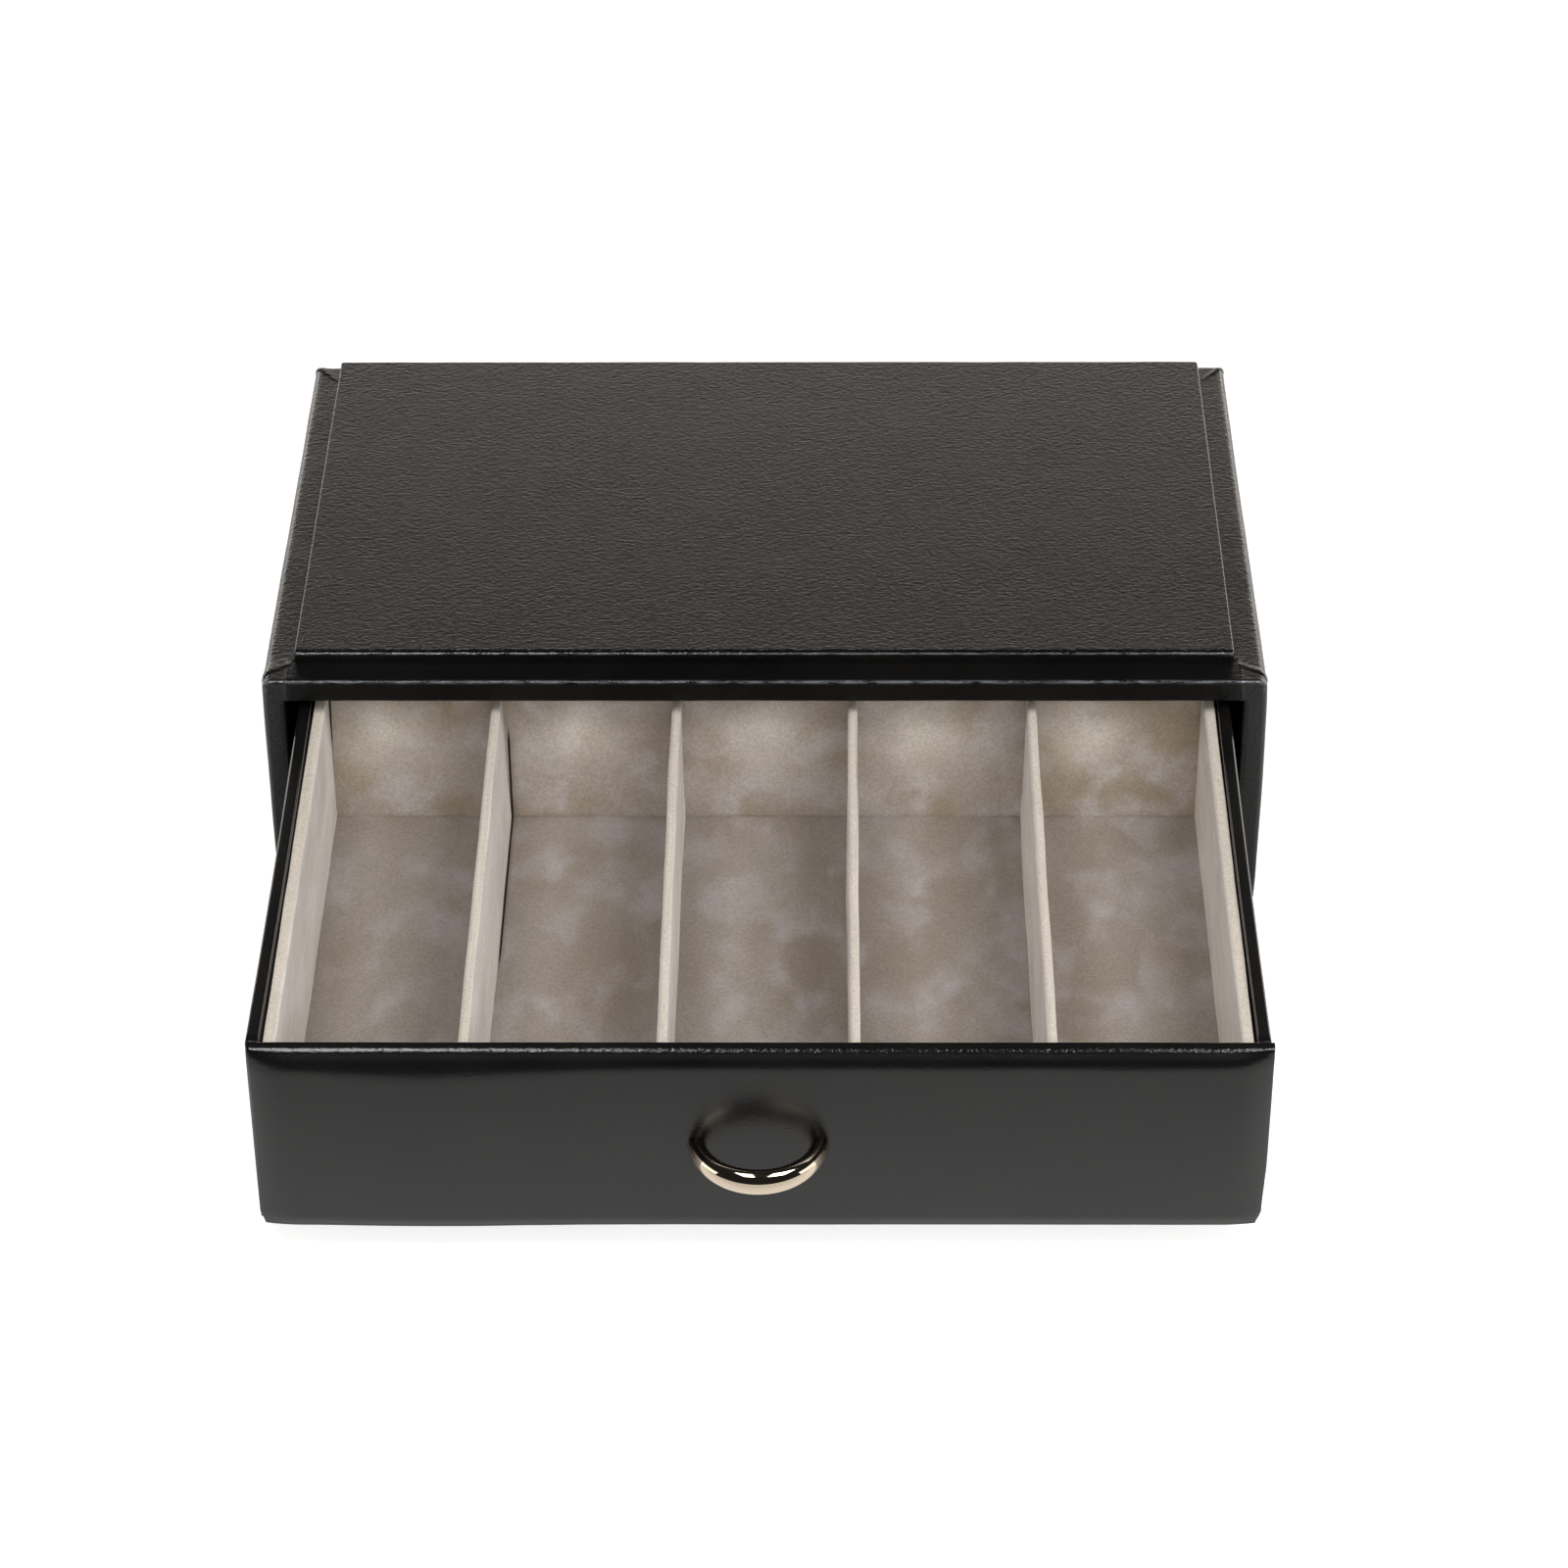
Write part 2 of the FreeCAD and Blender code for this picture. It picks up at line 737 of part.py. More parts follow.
handle = doc.addObject("PartDesign::Body", "pull_handle")
path = sketch_on(handle, "bow_path", "XY_Plane", handle_height)
half_circle = path.addGeometry(Part.ArcOfCircle(
    Part.Circle(Vector(0, foot_plane.number, 0), Vector(0, 0, 1), bow.number),
    math.pi, 2 * math.pi), False)
tie(path, half_circle, 3, 0, foot_plane)
tie(path, half_circle, 1, -bow, foot_plane)
tie(path, half_circle, 2, None, foot_plane)
feet = []
for side, sign in SIDES:
    sketch = sketch_on(handle, "bow_%s_foot" % side, "XZ_Plane", -foot_plane)
    disc(sketch, (sign * bow, handle_height), cell("bow_foot"))
    feet.append(sketch)
crest_section = sketch_on(handle, "bow_crest", "YZ_Plane")
disc(crest_section, (foot_plane - bow, handle_height), cell("bow_middle"))
bar = handle.newObject("PartDesign::AdditivePipe", "bow_bar")
bar.Profile = feet[0]
bar.Spine = (path, [])
bar.Mode = "Frenet"
bar.Transformation = "Multisection"
bar.Sections = [crest_section, feet[1]]
for side, sign in SIDES:
    sketch = sketch_on(handle, "bow_%s_bore_face" % side, "XZ_Plane", -foot_plane)
    disc(sketch, (sign * bow, handle_height), cell("screw_width") + 2 * cell("thread_play"))
    bore = handle.newObject("PartDesign::Pocket", "bow_%s_bore" % side)
    bore.Profile = sketch
    bore.Type = "Length"
    bore.setExpression("Length", (cell("screw_reach") + cell("bore_end")).text)
    bore.Reversed = True
node("pull_handle", handle, moves=True)

screws = []
washers = []
for side, sign in SIDES:
    shank = rod("screw_shank_%s" % side, sign * bow,
                (screw_end, washer_back), handle_height,
                cell("screw_width"))
    head = rod("screw_head_%s" % side, sign * bow, (washer_back, head_back), handle_height,
               cell("screw_head"))
    screws.append(join("screw_%s" % side, [shank, head]))
    ring = rod("washer_disc_%s" % side, sign * bow, (front_back, washer_back), handle_height,
               cell("washer_width"))
    washers.append(cut("washer_%s" % side, ring, screw_holes))
for name, items in (("handle_screws", screws), ("handle_washers", washers)):
    group = doc.addObject("Part::Compound", name)
    group.Links = items
    node(name, group, moves=True)

# Suede insert: foam under a floor, four linings and the dividers, with rounded upper edges


def suede(name, x, y, z, rounded):
    """A suede-covered board whose long upper edges are rounded where rounded(edge) holds."""
    block = box(name + "_block", x, y, z)
    return round_edges(
        name, block,
        lambda edge, whole: cell("suede_radius")
        if near(edge.ZMin, whole.ZMax) and rounded(edge, whole) else None)


node("floor_pad", box("floor_pad", (-insert_half, insert_half), (insert_front, insert_back),
                      (bottom_high, foam_high)), moves=True)
node("insert_floor", box("insert_floor", (-insert_half, insert_half),
                         (insert_front, insert_back), (foam_high, floor_high)), moves=True)
node("insert_left_lining", suede(
    "insert_left_lining", (-insert_half, -room_half), (insert_front, insert_back),
    (floor_high, insert_high),
    lambda edge, whole: near(edge.XMin, whole.XMax)), moves=True)
node("insert_right_lining", suede(
    "insert_right_lining", (room_half, insert_half), (insert_front, insert_back),
    (floor_high, insert_high),
    lambda edge, whole: near(edge.XMax, whole.XMin)), moves=True)
node("insert_back_lining", suede(
    "insert_back_lining", (-room_half, room_half), (room_back, insert_back),
    (floor_high, insert_high),
    lambda edge, whole: near(edge.YMax, whole.YMin)), moves=True)
front_panel = suede(
    "insert_front_panel", (-room_half, room_half), (insert_front, room_front),
    (floor_high, insert_high),
    lambda edge, whole: near(edge.YMin, whole.YMax))
head_pockets = join("head_pockets", [
    rod("head_pocket_%s" % side, sign * bow,
        (front_back, pocket_back), handle_height,
        cell("washer_width") + 2 * cell("pocket_side"))
    for side, sign in SIDES])
node("insert_front_lining", cut("insert_front_lining", front_panel, head_pockets), moves=True)

board_width = cell("divider_board")
room_width = (room_half * 2 - board_width * (COMPARTMENTS - 1)) / COMPARTMENTS
for number in range(1, COMPARTMENTS):
    left = (room_width + board_width) * number - board_width - room_half
    node("divider_%d" % number, suede(
        "divider_%d" % number, (left, left + board_width), (room_front, room_back),
        (floor_high, insert_high),
        lambda edge, whole: lengthwise(edge)), moves=True)

# Check every object, then write one file for each piece

doc.recompute()
for item in doc.Objects:
    if any(word in item.State for word in ("Invalid", "Error")):
        raise RuntimeError("%s failed: %s" % (item.Name, item.State))
os.makedirs("parts", exist_ok=True)
for name, item in NODES.items():
    shape = item.Shape
    if shape.isNull() or not shape.isValid() or not shape.Solids:
        raise RuntimeError(name + " has no valid solid")
for name, item in NODES.items():
    item.Shape.exportStep("parts/%s.step" % name)
print("pieces", len(NODES))
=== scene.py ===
"""Looks of a storage box for eyeglasses: a leather-covered casing and a drawer with a suede insert.

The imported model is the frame. Shapes are worked out in millimetres from the boxes of its nodes
and brought to metres when a piece is finished. +X is to the right, +Y to the back, +Z up.
"""
import json
import logging
import math
from collections.abc import Callable, Iterable
from dataclasses import dataclass, field
from enum import Enum

import bmesh
import bpy
from bmesh.types import BMEdge, BMesh
from mathutils import Matrix, Vector, noise


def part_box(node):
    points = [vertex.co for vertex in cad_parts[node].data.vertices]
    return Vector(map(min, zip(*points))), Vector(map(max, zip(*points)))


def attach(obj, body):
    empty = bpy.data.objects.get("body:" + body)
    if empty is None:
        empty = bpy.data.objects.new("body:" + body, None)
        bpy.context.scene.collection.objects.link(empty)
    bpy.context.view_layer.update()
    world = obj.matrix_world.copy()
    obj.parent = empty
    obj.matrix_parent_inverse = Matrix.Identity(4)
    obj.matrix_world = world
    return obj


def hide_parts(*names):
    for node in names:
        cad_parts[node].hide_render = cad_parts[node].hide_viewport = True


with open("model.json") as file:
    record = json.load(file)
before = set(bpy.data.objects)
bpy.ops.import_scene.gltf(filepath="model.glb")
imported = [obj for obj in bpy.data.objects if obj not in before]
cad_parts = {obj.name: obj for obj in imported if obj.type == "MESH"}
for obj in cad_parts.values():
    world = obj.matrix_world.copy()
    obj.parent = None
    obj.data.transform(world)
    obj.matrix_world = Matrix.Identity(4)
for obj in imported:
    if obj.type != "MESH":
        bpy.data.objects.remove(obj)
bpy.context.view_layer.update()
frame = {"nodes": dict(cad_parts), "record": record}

MM = 0.001
LOG = logging.getLogger("eyeglasses_box")


class Body(Enum):
    """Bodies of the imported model."""

    CASING = "casing"
    DRAWER = "drawer"


class Axis(Enum):
    """Axes of the frame."""

    X = 0
    Y = 1
    Z = 2


# Sizes


@dataclass(frozen=True)
class Span:
    """A box between two corners, in millimetres."""

    low: Vector
    high: Vector

    @property
    def size(self) -> Vector:
        """Length along each axis."""
        return self.high - self.low

    @property
    def middle(self) -> Vector:
        """Centre."""
        return (self.low + self.high) / 2


def span(*names: str) -> Span:
    """Box of one or several CAD nodes.

    Args:
        names: Names of the nodes.

    Returns:
        The box round all of them, in millimetres.
    """
    boxes = [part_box(name) for name in names]
    low = Vector([min(box[0][axis] for box in boxes) for axis in range(3)]) / MM
    high = Vector([max(box[1][axis] for box in boxes) for axis in range(3)]) / MM
    return Span(low, high)


def steps(low: float, high: float, step: float) -> list[float]:
    """Evenly spaced places between two limits, without the limits.

    Args:
        low: Lower limit.
        high: Upper limit.
        step: Largest distance between neighbours.

    Returns:
        The places in between.
    """
    count = max(1, math.ceil((high - low) / step))
    return [low + (high - low) * index / count for index in range(1, count)]


def ease(value: float, start: float, end: float) -> float:
    """Smooth rise from 0 at start to 1 at end."""
    share = min(1.0, max(0.0, (value - start) / (end - start)))
    return share * share * (3 - 2 * share)


def ripple(point: Vector, length: float, seed: float) -> float:
    """Gentle unevenness between -1 and 1.

    Args:
        point: Where, in millimetres.
        length: Length of its waves, in millimetres.
        seed: Which of many such patterns.

    Returns:
        The pattern's value there.
    """
    return noise.noise(point / length + Vector((seed, seed * 0.7, -seed)))


# Mesh work


def block(box: Span) -> BMesh:
    """A cube stretched to a box."""
    mesh = bmesh.new()
    bmesh.ops.create_cube(mesh, size=1.0)
    bmesh.ops.scale(mesh, vec=box.size, verts=mesh.verts)
    bmesh.ops.translate(mesh, vec=box.middle, verts=mesh.verts)
    return mesh


def slice_at(mesh: BMesh, axis: Axis, places: Iterable[float],
             where: Callable[[Vector], bool] | None = None) -> None:
    """Cut new edges into a mesh with planes across an axis.

    Args:
        mesh: The mesh.
        axis: The axis that the planes stand across.
        places: Where along it.
        where: Which faces are cut, by their centre, or None for all.
    """
    normal = Vector([float(axis.value == index) for index in range(3)])
    for place in places:
        faces = [face for face in mesh.faces
                 if where is None or where(face.calc_center_median())]
        edges = {edge for face in faces for edge in face.edges}
        verts = {vert for face in faces for vert in face.verts}
        bmesh.ops.bisect_plane(mesh, geom=[*faces, *edges, *verts], dist=1e-4,
                               plane_co=normal * place, plane_no=normal)


def drop_faces(mesh: BMesh, gone: Callable[[Vector, Vector], bool]) -> None:
    """Delete the faces for which gone(centre, normal) holds."""
    faces = [face for face in mesh.faces if gone(face.calc_center_median(), face.normal)]
    bmesh.ops.delete(mesh, geom=faces, context="FACES")


def move_points(mesh: BMesh, change: Callable[[Vector, Vector], Vector]) -> None:
    """Move every point by change(place, normal)."""
    mesh.normal_update()
    moves = [change(vert.co, vert.normal) for vert in mesh.verts]
    for vert, move in zip(mesh.verts, moves):
        vert.co += move
    mesh.normal_update()


def rounded(mesh: BMesh, width_of: Callable[[BMEdge], float], segments: int) -> BMesh:
    """Round the edges of a mesh, each by its own width.

    Args:
        mesh: The mesh, which is used up.
        width_of: Width of the rounding of an edge, 0 for none.
        segments: Segments across each rounding.

    Returns:
        The rounded mesh.
    """
    widths = [width_of(edge) for edge in mesh.edges]
    widest = max(widths)
    weights = mesh.edges.layers.float.new("bevel_weight_edge")
    for edge, width in zip(mesh.edges, widths):
        edge[weights] = width / widest
    data = bpy.data.meshes.new("rounding")
    mesh.to_mesh(data)
    mesh.free()
    holder = bpy.data.objects.new("rounding", data)
    bpy.context.scene.collection.objects.link(holder)
    bevel = holder.modifiers.new("rounding", "BEVEL")
    bevel.affect = "EDGES"
    bevel.limit_method = "WEIGHT"
    bevel.width = widest
    bevel.segments = segments
    bevel.profile = 0.5
    bevel.material = -1
    bevel.use_clamp_overlap = False
    made = bmesh.new()
    made.from_object(holder, bpy.context.evaluated_depsgraph_get())
    bpy.data.objects.remove(holder)
    bpy.data.meshes.remove(data)
    return made


def mark_taut(mesh: BMesh, lit_edge: Callable[[Vector], bool] | None = None) -> None:
    """Note in the attribute taut where leather is drawn tight round an edge, and in a second
    attribute how strong a painted highlight along that edge is.

    Args:
        mesh: The leather.
        lit_edge: Whether the edge gets a painted highlight at a point, or None for nowhere.
    """
    mesh.normal_update()
    for name in ("taut", "painted_edge_light"):
        mesh.verts.layers.float.new(name)
    taut, painted_edge_light = (mesh.verts.layers.float[name] for name in ("taut", "painted_edge_light"))
    for vert in mesh.verts:
        vert[taut] = 1 - ease(max(abs(part) for part in vert.normal), 0.93, 0.995)
        # Painted highlight, strongest where the leather turns most sharply.
        if lit_edge and lit_edge(vert.co):
            vert[painted_edge_light] = vert[taut] ** 6


def runs_along(edge: BMEdge, axis: Axis) -> bool:
    """Whether a straight edge lies along an axis."""
    way = edge.verts[1].co - edge.verts[0].co
    return abs(way.normalized()[axis.value]) > 0.999


@dataclass(frozen=True)
class Shell:
    """Thickness and edge rounding that a leather skin gets at the end, in millimetres."""

    thickness: float = 0.8
    edge: float = 0.22
    angle: float = 50.0


def finish_piece(name: str, mesh: BMesh, body: Body, material: bpy.types.Material,
                 replaces: Iterable[str], shell: Shell | None = None) -> bpy.types.Object:
    """Make an object of a mesh and hang it on its body.

    Args:
        name: Name of the piece.
        mesh: Its shape in millimetres, which is used up.
        body: The body it moves with.
        material: Its finish.
        replaces: The CAD nodes it stands for.
        shell: Thickness, where the mesh is an open skin.

    Returns:
        The object, at the origin.
    """
    bmesh.ops.scale(mesh, vec=(MM, MM, MM), verts=mesh.verts)
    for face in mesh.faces:
        face.smooth = True
    data = bpy.data.meshes.new(name)
    mesh.to_mesh(data)
    mesh.free()
    data.materials.append(material)
    piece = bpy.data.objects.new(name, data)
    bpy.context.scene.collection.objects.link(piece)
    if shell:
        solid = piece.modifiers.new("thickness", "SOLIDIFY")
        solid.thickness = shell.thickness * MM
        solid.offset = -1.0
        bevel = piece.modifiers.new("edge", "BEVEL")
        bevel.affect = "EDGES"
        bevel.limit_method = "ANGLE"
        bevel.angle_limit = math.radians(shell.angle)
        bevel.width = shell.edge * MM
        bevel.segments = 2
        bevel.profile = 0.5
        bevel.material = -1
    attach(piece, body.value)
    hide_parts(*replaces)
    LOG.info("%s: %d faces", name, len(data.polygons))
    return piece


# Node work


def linear(colour: str) -> tuple[float, float, float, float]:
    """An sRGB hex colour as linear RGBA."""
    parts = [int(colour[index:index + 2], 16) / 255 for index in (1, 3, 5)]
    low, high = 0.04045, 2.4
    return (*[part / 12.92 if part <= low else ((part + 0.055) / 1.055) ** high
              for part in parts], 1.0)


def add(tree: bpy.types.NodeTree, kind: str, settings: dict | None = None,
        links: dict | None = None) -> bpy.types.Node:
    """Add a node.

    Args:
        tree: The node tree.
        kind: Type of the node, without ShaderNode in front.
        settings: Values by name of a setting, or by name or number of an input.
        links: Outputs by name or number of the input that they go to.

    Returns:
        The node.
    """
    node = tree.nodes.new("ShaderNode" + kind)
    for key, value in (settings or {}).items():
        if isinstance(key, str) and hasattr(node, key):
            setattr(node, key, value)
        else:
            node.inputs[key].default_value = value
    for key, output in (links or {}).items():
        tree.links.new(output, node.inputs[key])
    return node


def ramp(tree: bpy.types.NodeTree, factor: bpy.types.NodeSocket,
         stops: Iterable[tuple[float, str]]) -> bpy.types.NodeSocket:
    """Colours along a factor.

    Args:
        tree: The node tree.
        factor: What the colours follow.
        stops: Places and their hex colours.

    Returns:
        The colour output.
    """
    node = add(tree, "ValToRGB", links={0: factor})
    entries = node.color_ramp.elements
    for index, (place, colour) in enumerate(stops):
        entry = entries[index] if index < 2 else entries.new(place)
        entry.position = place
        entry.color = linear(colour)
    return node.outputs[0]


def new_material(name: str) -> tuple[bpy.types.Material, bpy.types.NodeTree]:
    """An empty node material and its tree."""
    material = bpy.data.materials.new(name)
    material.use_nodes = True
    material.node_tree.nodes.clear()
    return material, material.node_tree


def arithmetic(tree: bpy.types.NodeTree, operation: str,
               *values: float | bpy.types.NodeSocket) -> bpy.types.NodeSocket:
    """One sum of numbers and outputs.

    Args:
        tree: The node tree.
        operation: What is done with them.
        values: Up to three numbers or outputs.

    Returns:
        The result.
    """
    settings = {"operation": operation}
    links = {}
    for index, value in enumerate(values):
        if isinstance(value, bpy.types.NodeSocket):
            links[index] = value
        else:
            settings[index] = value
    return add(tree, "Math", settings, links).outputs[0]


# Finishes


@dataclass(frozen=True)
class Leather:
    """Black calf leather, drum dyed and finished with a thin pigment coat.

    It is near black in itself: what the eye sees is the soft reflection of a bright room,
    broken up by short shallow wrinkles and a fine grain. Lengths are in millimetres.
    """

    name: str
    colour: str = "#080808"
    dust: str = "#0f0e0d"
    # Pale grey of a painted highlight, laid as a broken line along chosen edges.
    edge_highlight: str = "#55575a"
    roughness: float = 0.38
    taut_roughness: float = 0.16
    wrinkle: float = 2.0
    wrinkle_across: float = 1.15
    depth: float = 0.20
    fine: float = 0.6
    fine_depth: float = 0.015
    way: Axis = Axis.X
    gloss: float = 0.5
    crumple: float = 0.2

    def make(self) -> bpy.types.Material:
        """The material. Wrinkles and grain are drawn about half as coarse again as real."""
        material, tree = new_material(self.name)
        place = add(tree, "TexCoord").outputs["Object"]
        lengths = [self.wrinkle_across] * 3
        lengths[self.way.value] = self.wrinkle
        drawn = add(tree, "Mapping", {"Scale": [1 / (length * MM) for length in lengths]},
                    {"Vector": place}).outputs[0]
        wrinkles = add(tree, "TexNoise", {"Scale": 1.0, "Detail": 2.0, "Roughness": 0.55,
                                          "Distortion": 0.5}, {"Vector": drawn}).outputs[0]
        fine = add(tree, "TexNoise", {"Scale": 1 / (self.fine * MM), "Detail": 1.0},
                   {"Vector": place}).outputs[0]
        taut = add(tree, "Attribute", {"attribute_name": "taut"}).outputs["Fac"]
        deep = arithmetic(tree, "MULTIPLY_ADD", taut, self.depth * self.crumple, self.depth)
        height = arithmetic(tree, "ADD", arithmetic(tree, "MULTIPLY", wrinkles, deep),
                            arithmetic(tree, "MULTIPLY", fine, self.fine_depth))
        bump = add(tree, "Bump", {"Strength": 1.0, "Distance": MM}, {"Height": height})
        cloud = add(tree, "TexNoise", {"Scale": 1 / (38 * MM), "Detail": 3.0},
                    {"Vector": place}).outputs[0]
        colour = ramp(tree, cloud, [(0.35, self.colour), (0.7, self.dust)])
        # Painted highlight: a broken pale line mixed into the colour along the marked edges.
        edge_light_drawn = add(tree, "Mapping", {"Scale": [1 / (length * MM) for length in (7, 1.5, 1.5)]},
                   {"Vector": place}).outputs[0]
        painted_edge_light = add(tree, "TexNoise", {"Scale": 1.0, "Detail": 3.0, "Roughness": 0.6},
                     {"Vector": edge_light_drawn}).outputs[0]
        painted_edge_light = add(tree, "MapRange", {"From Min": 0.36, "From Max": 0.62},
                     {"Value": painted_edge_light}).outputs[0]
        edge = add(tree, "Attribute", {"attribute_name": "painted_edge_light"}).outputs["Fac"]
        painted_edge_light = arithmetic(tree, "MULTIPLY", painted_edge_light, edge)
        colour = add(tree, "Mix", {"data_type": "RGBA", 7: linear(self.edge_highlight)},
                     {0: painted_edge_light, 6: colour}).outputs[2]
        rough = add(tree, "MapRange", {"To Min": self.roughness, "To Max": self.taut_roughness},
                    {"Value": taut}).outputs[0]
        rough = arithmetic(tree, "ADD", rough, arithmetic(tree, "MULTIPLY", wrinkles, -0.06))
        shader = add(tree, "BsdfPrincipled", {"IOR": 1.5, "Specular IOR Level": self.gloss},
                     {"Base Color": colour, "Roughness": rough, "Normal": bump.outputs[0]})
        add(tree, "OutputMaterial", links={"Surface": shader.outputs[0]})
        return material


@dataclass(frozen=True)
class Suede:
    """Brushed velour suede: short nap that lies now this way, now that.

    The strokes of the hand leave soft-edged patches, lilac-grey where the nap leans to
    the light and brown where it leans away. The back also has a paler cream spot in each
    compartment. Lengths are in millimetres.
    """

    name: str
    taupe: str = "#877f77"
    brown: str = "#80766b"
    lilac: str = "#958e8b"
    cream: str = "#c9bfb1"
    # Paler colour of the top edges: a painted highlight for the light that falls on them from
    # above.
    top_highlight: str = "#b4aba0"
    # Near black of the painted shade laid into the gap beside the first divider.
    gap: str = "#1b1815"
    cloud: float = 36.0
    patch: float = 15.0
    stretch: float = 1.5
    streak: float = 0.0

    def noise_at(self, tree: bpy.types.NodeTree, place: bpy.types.NodeSocket, size: float,
                 detail: float, low: float, high: float) -> bpy.types.NodeSocket:
        """A soft-edged pattern of patches.

        Args:
            tree: The node tree.
            place: Where the pattern is read.
            size: Size of a patch.
            detail: How broken its outline is.
            low: Level of the noise at which a patch begins.
            high: Level at which it is full.

        Returns:
            Its strength, from 0 to 1.
        """
        noise_of = add(tree, "TexNoise", {"Scale": 1 / (size * MM), "Detail": detail,
                                          "Roughness": 0.45, "Distortion": 0.25},
                       {"Vector": place}).outputs[0]
        return add(tree, "MapRange", {"interpolation_type": "SMOOTHSTEP", "From Min": low,
                                      "From Max": high}, {"Value": noise_of}).outputs[0]

    def make(self) -> bpy.types.Material:
        """The material. It reads three attributes: a paler cream spot, a painted highlight on top
        edges, and a gap darkened with painted shade.
        """
        material, tree = new_material(self.name)
        place = add(tree, "TexCoord").outputs["Object"]
        drawn = add(tree, "Mapping", {"Scale": (1, 1 / self.stretch, 1)},
                    {"Vector": place}).outputs[0]
        shifted = add(tree, "Mapping", {"Location": (0.3, 0.2, 0.1),
                                        "Scale": (1, 1 / self.stretch, 1)},
                      {"Vector": place}).outputs[0]
        leaning = self.noise_at(tree, drawn, self.cloud, 1.5, 0.38, 0.68)
        ground = add(tree, "Mix", {"data_type": "RGBA", 6: linear(self.taupe),
                                   7: linear(self.brown)}, {0: leaning})
        patches = self.noise_at(tree, shifted, self.patch, 1.5, 0.42, 0.70)
        strokes = self.noise_at(tree, shifted, self.patch * 0.45, 1.0, 0.35, 0.75)
        patches = arithmetic(tree, "MULTIPLY", patches,
                             arithmetic(tree, "MULTIPLY_ADD", strokes, 0.5, 0.58))
        ground = add(tree, "Mix", {"data_type": "RGBA", 7: linear(self.lilac)},
                     {0: patches, 6: ground.outputs[2]})
        # A paler cream spot where the attribute asks for it.
        cream_spot = add(tree, "Attribute", {"attribute_name": "cream_spot"}).outputs["Fac"]
        ground = add(tree, "Mix", {"data_type": "RGBA", 7: linear(self.cream)},
                     {0: cream_spot, 6: ground.outputs[2]})
        # Painted highlight: the top edges are made paler.
        top_highlight = add(tree, "Attribute", {"attribute_name": "top_highlight"}).outputs["Fac"]
        top = add(tree, "Mix", {"data_type": "RGBA", 7: linear(self.top_highlight)},
                  {0: top_highlight, 6: ground.outputs[2]})
        # Painted shade: the gap is darkened towards near black.
        opened = add(tree, "Attribute", {"attribute_name": "open"}).outputs["Fac"]
        top = add(tree, "Mix", {"data_type": "RGBA", 7: linear(self.gap)},
                  {0: opened, 6: top.outputs[2]})
        speck = add(tree, "TexNoise", {"Scale": 1 / (0.9 * MM), "Detail": 2.0,
                                       "Roughness": 0.7}, {"Vector": place}).outputs[0]
        fibre = add(tree, "Mapping",
                    {"Scale": (1 / (1.6 * MM), 1 / (40 * MM), 1 / (1.9 * MM))},
                    {"Vector": place}).outputs[0]
        streaks = add(tree, "TexNoise", {"Scale": 1.0, "Detail": 2.0, "Roughness": 0.5,
                                         "Distortion": 0.6}, {"Vector": fibre}).outputs[0]
        grain = arithmetic(tree, "ADD", arithmetic(tree, "MULTIPLY", speck, 0.8),
                           arithmetic(tree, "MULTIPLY", streaks, self.streak))
        light = arithmetic(tree, "ADD", grain, 0.6 - self.streak * 0.5)
        shade = add(tree, "VectorMath", {"operation": "SCALE"},
                    {0: top.outputs[2], "Scale": light}).outputs[0]
        bump = add(tree, "Bump", {"Strength": 0.6, "Distance": 0.15 * MM}, {"Height": grain})
        shader = add(tree, "BsdfPrincipled",
                     {"Roughness": 0.95, "IOR": 1.45, "Specular IOR Level": 0.2,
                      "Sheen Weight": 0.15, "Sheen Roughness": 0.5,
                      "Sheen Tint": linear("#efe6da")},
                     {"Base Color": shade, "Normal": bump.outputs[0]})
        add(tree, "OutputMaterial", links={"Surface": shader.outputs[0]})
        return material


@dataclass(frozen=True)
class Metal:
    """A metal part: polished nickel plate or zinc-plated steel, with faint scratches."""

    name: str
    colour: str
    roughness: float
    scratch: float
    depth: float = 0.15

    def make(self) -> bpy.types.Material:
        """The material."""
        material, tree = new_material(self.name)
        place = add(tree, "TexCoord").outputs["Object"]
        lines = add(tree, "TexNoise", {"Scale": 1 / (0.5 * MM), "Detail": 3.0,
                                       "Distortion": 1.5}, {"Vector": place}).outputs[0]
        rough = arithmetic(tree, "MULTIPLY_ADD", lines, self.scratch,
                           self.roughness - self.scratch / 2)
        bump = add(tree, "Bump", {"Strength": self.depth, "Distance": 0.004 * MM},
                   {"Height": lines})
        shader = add(tree, "BsdfPrincipled",
                     {"Base Color": linear(self.colour), "Metallic": 1.0},
                     {"Roughness": rough, "Normal": bump.outputs[0]})
        add(tree, "OutputMaterial", links={"Surface": shader.outputs[0]})
        return material


@dataclass(frozen=True)
class Sheet:
    """A matt sheet or board: grey board, book cloth or foam, told apart by grain and colour."""

    name: str
    colour: str
    fleck: str
    grain: float
    depth: float
    roughness: float = 0.9

    def make(self) -> bpy.types.Material:
        """The material."""
        material, tree = new_material(self.name)
        place = add(tree, "TexCoord").outputs["Object"]
        fibres = add(tree, "TexNoise", {"Scale": 1 / (self.grain * MM), "Detail": 4.0,
                                        "Roughness": 0.7}, {"Vector": place}).outputs[0]
        colour = ramp(tree, fibres, [(0.35, self.colour), (0.68, self.fleck)])
        bump = add(tree, "Bump", {"Strength": 0.7, "Distance": self.depth * MM},
                   {"Height": fibres})
        shader = add(tree, "BsdfPrincipled", {"Roughness": self.roughness, "IOR": 1.45},
                     {"Base Color": colour, "Normal": bump.outputs[0]})
        add(tree, "OutputMaterial", links={"Surface": shader.outputs[0]})
        return material


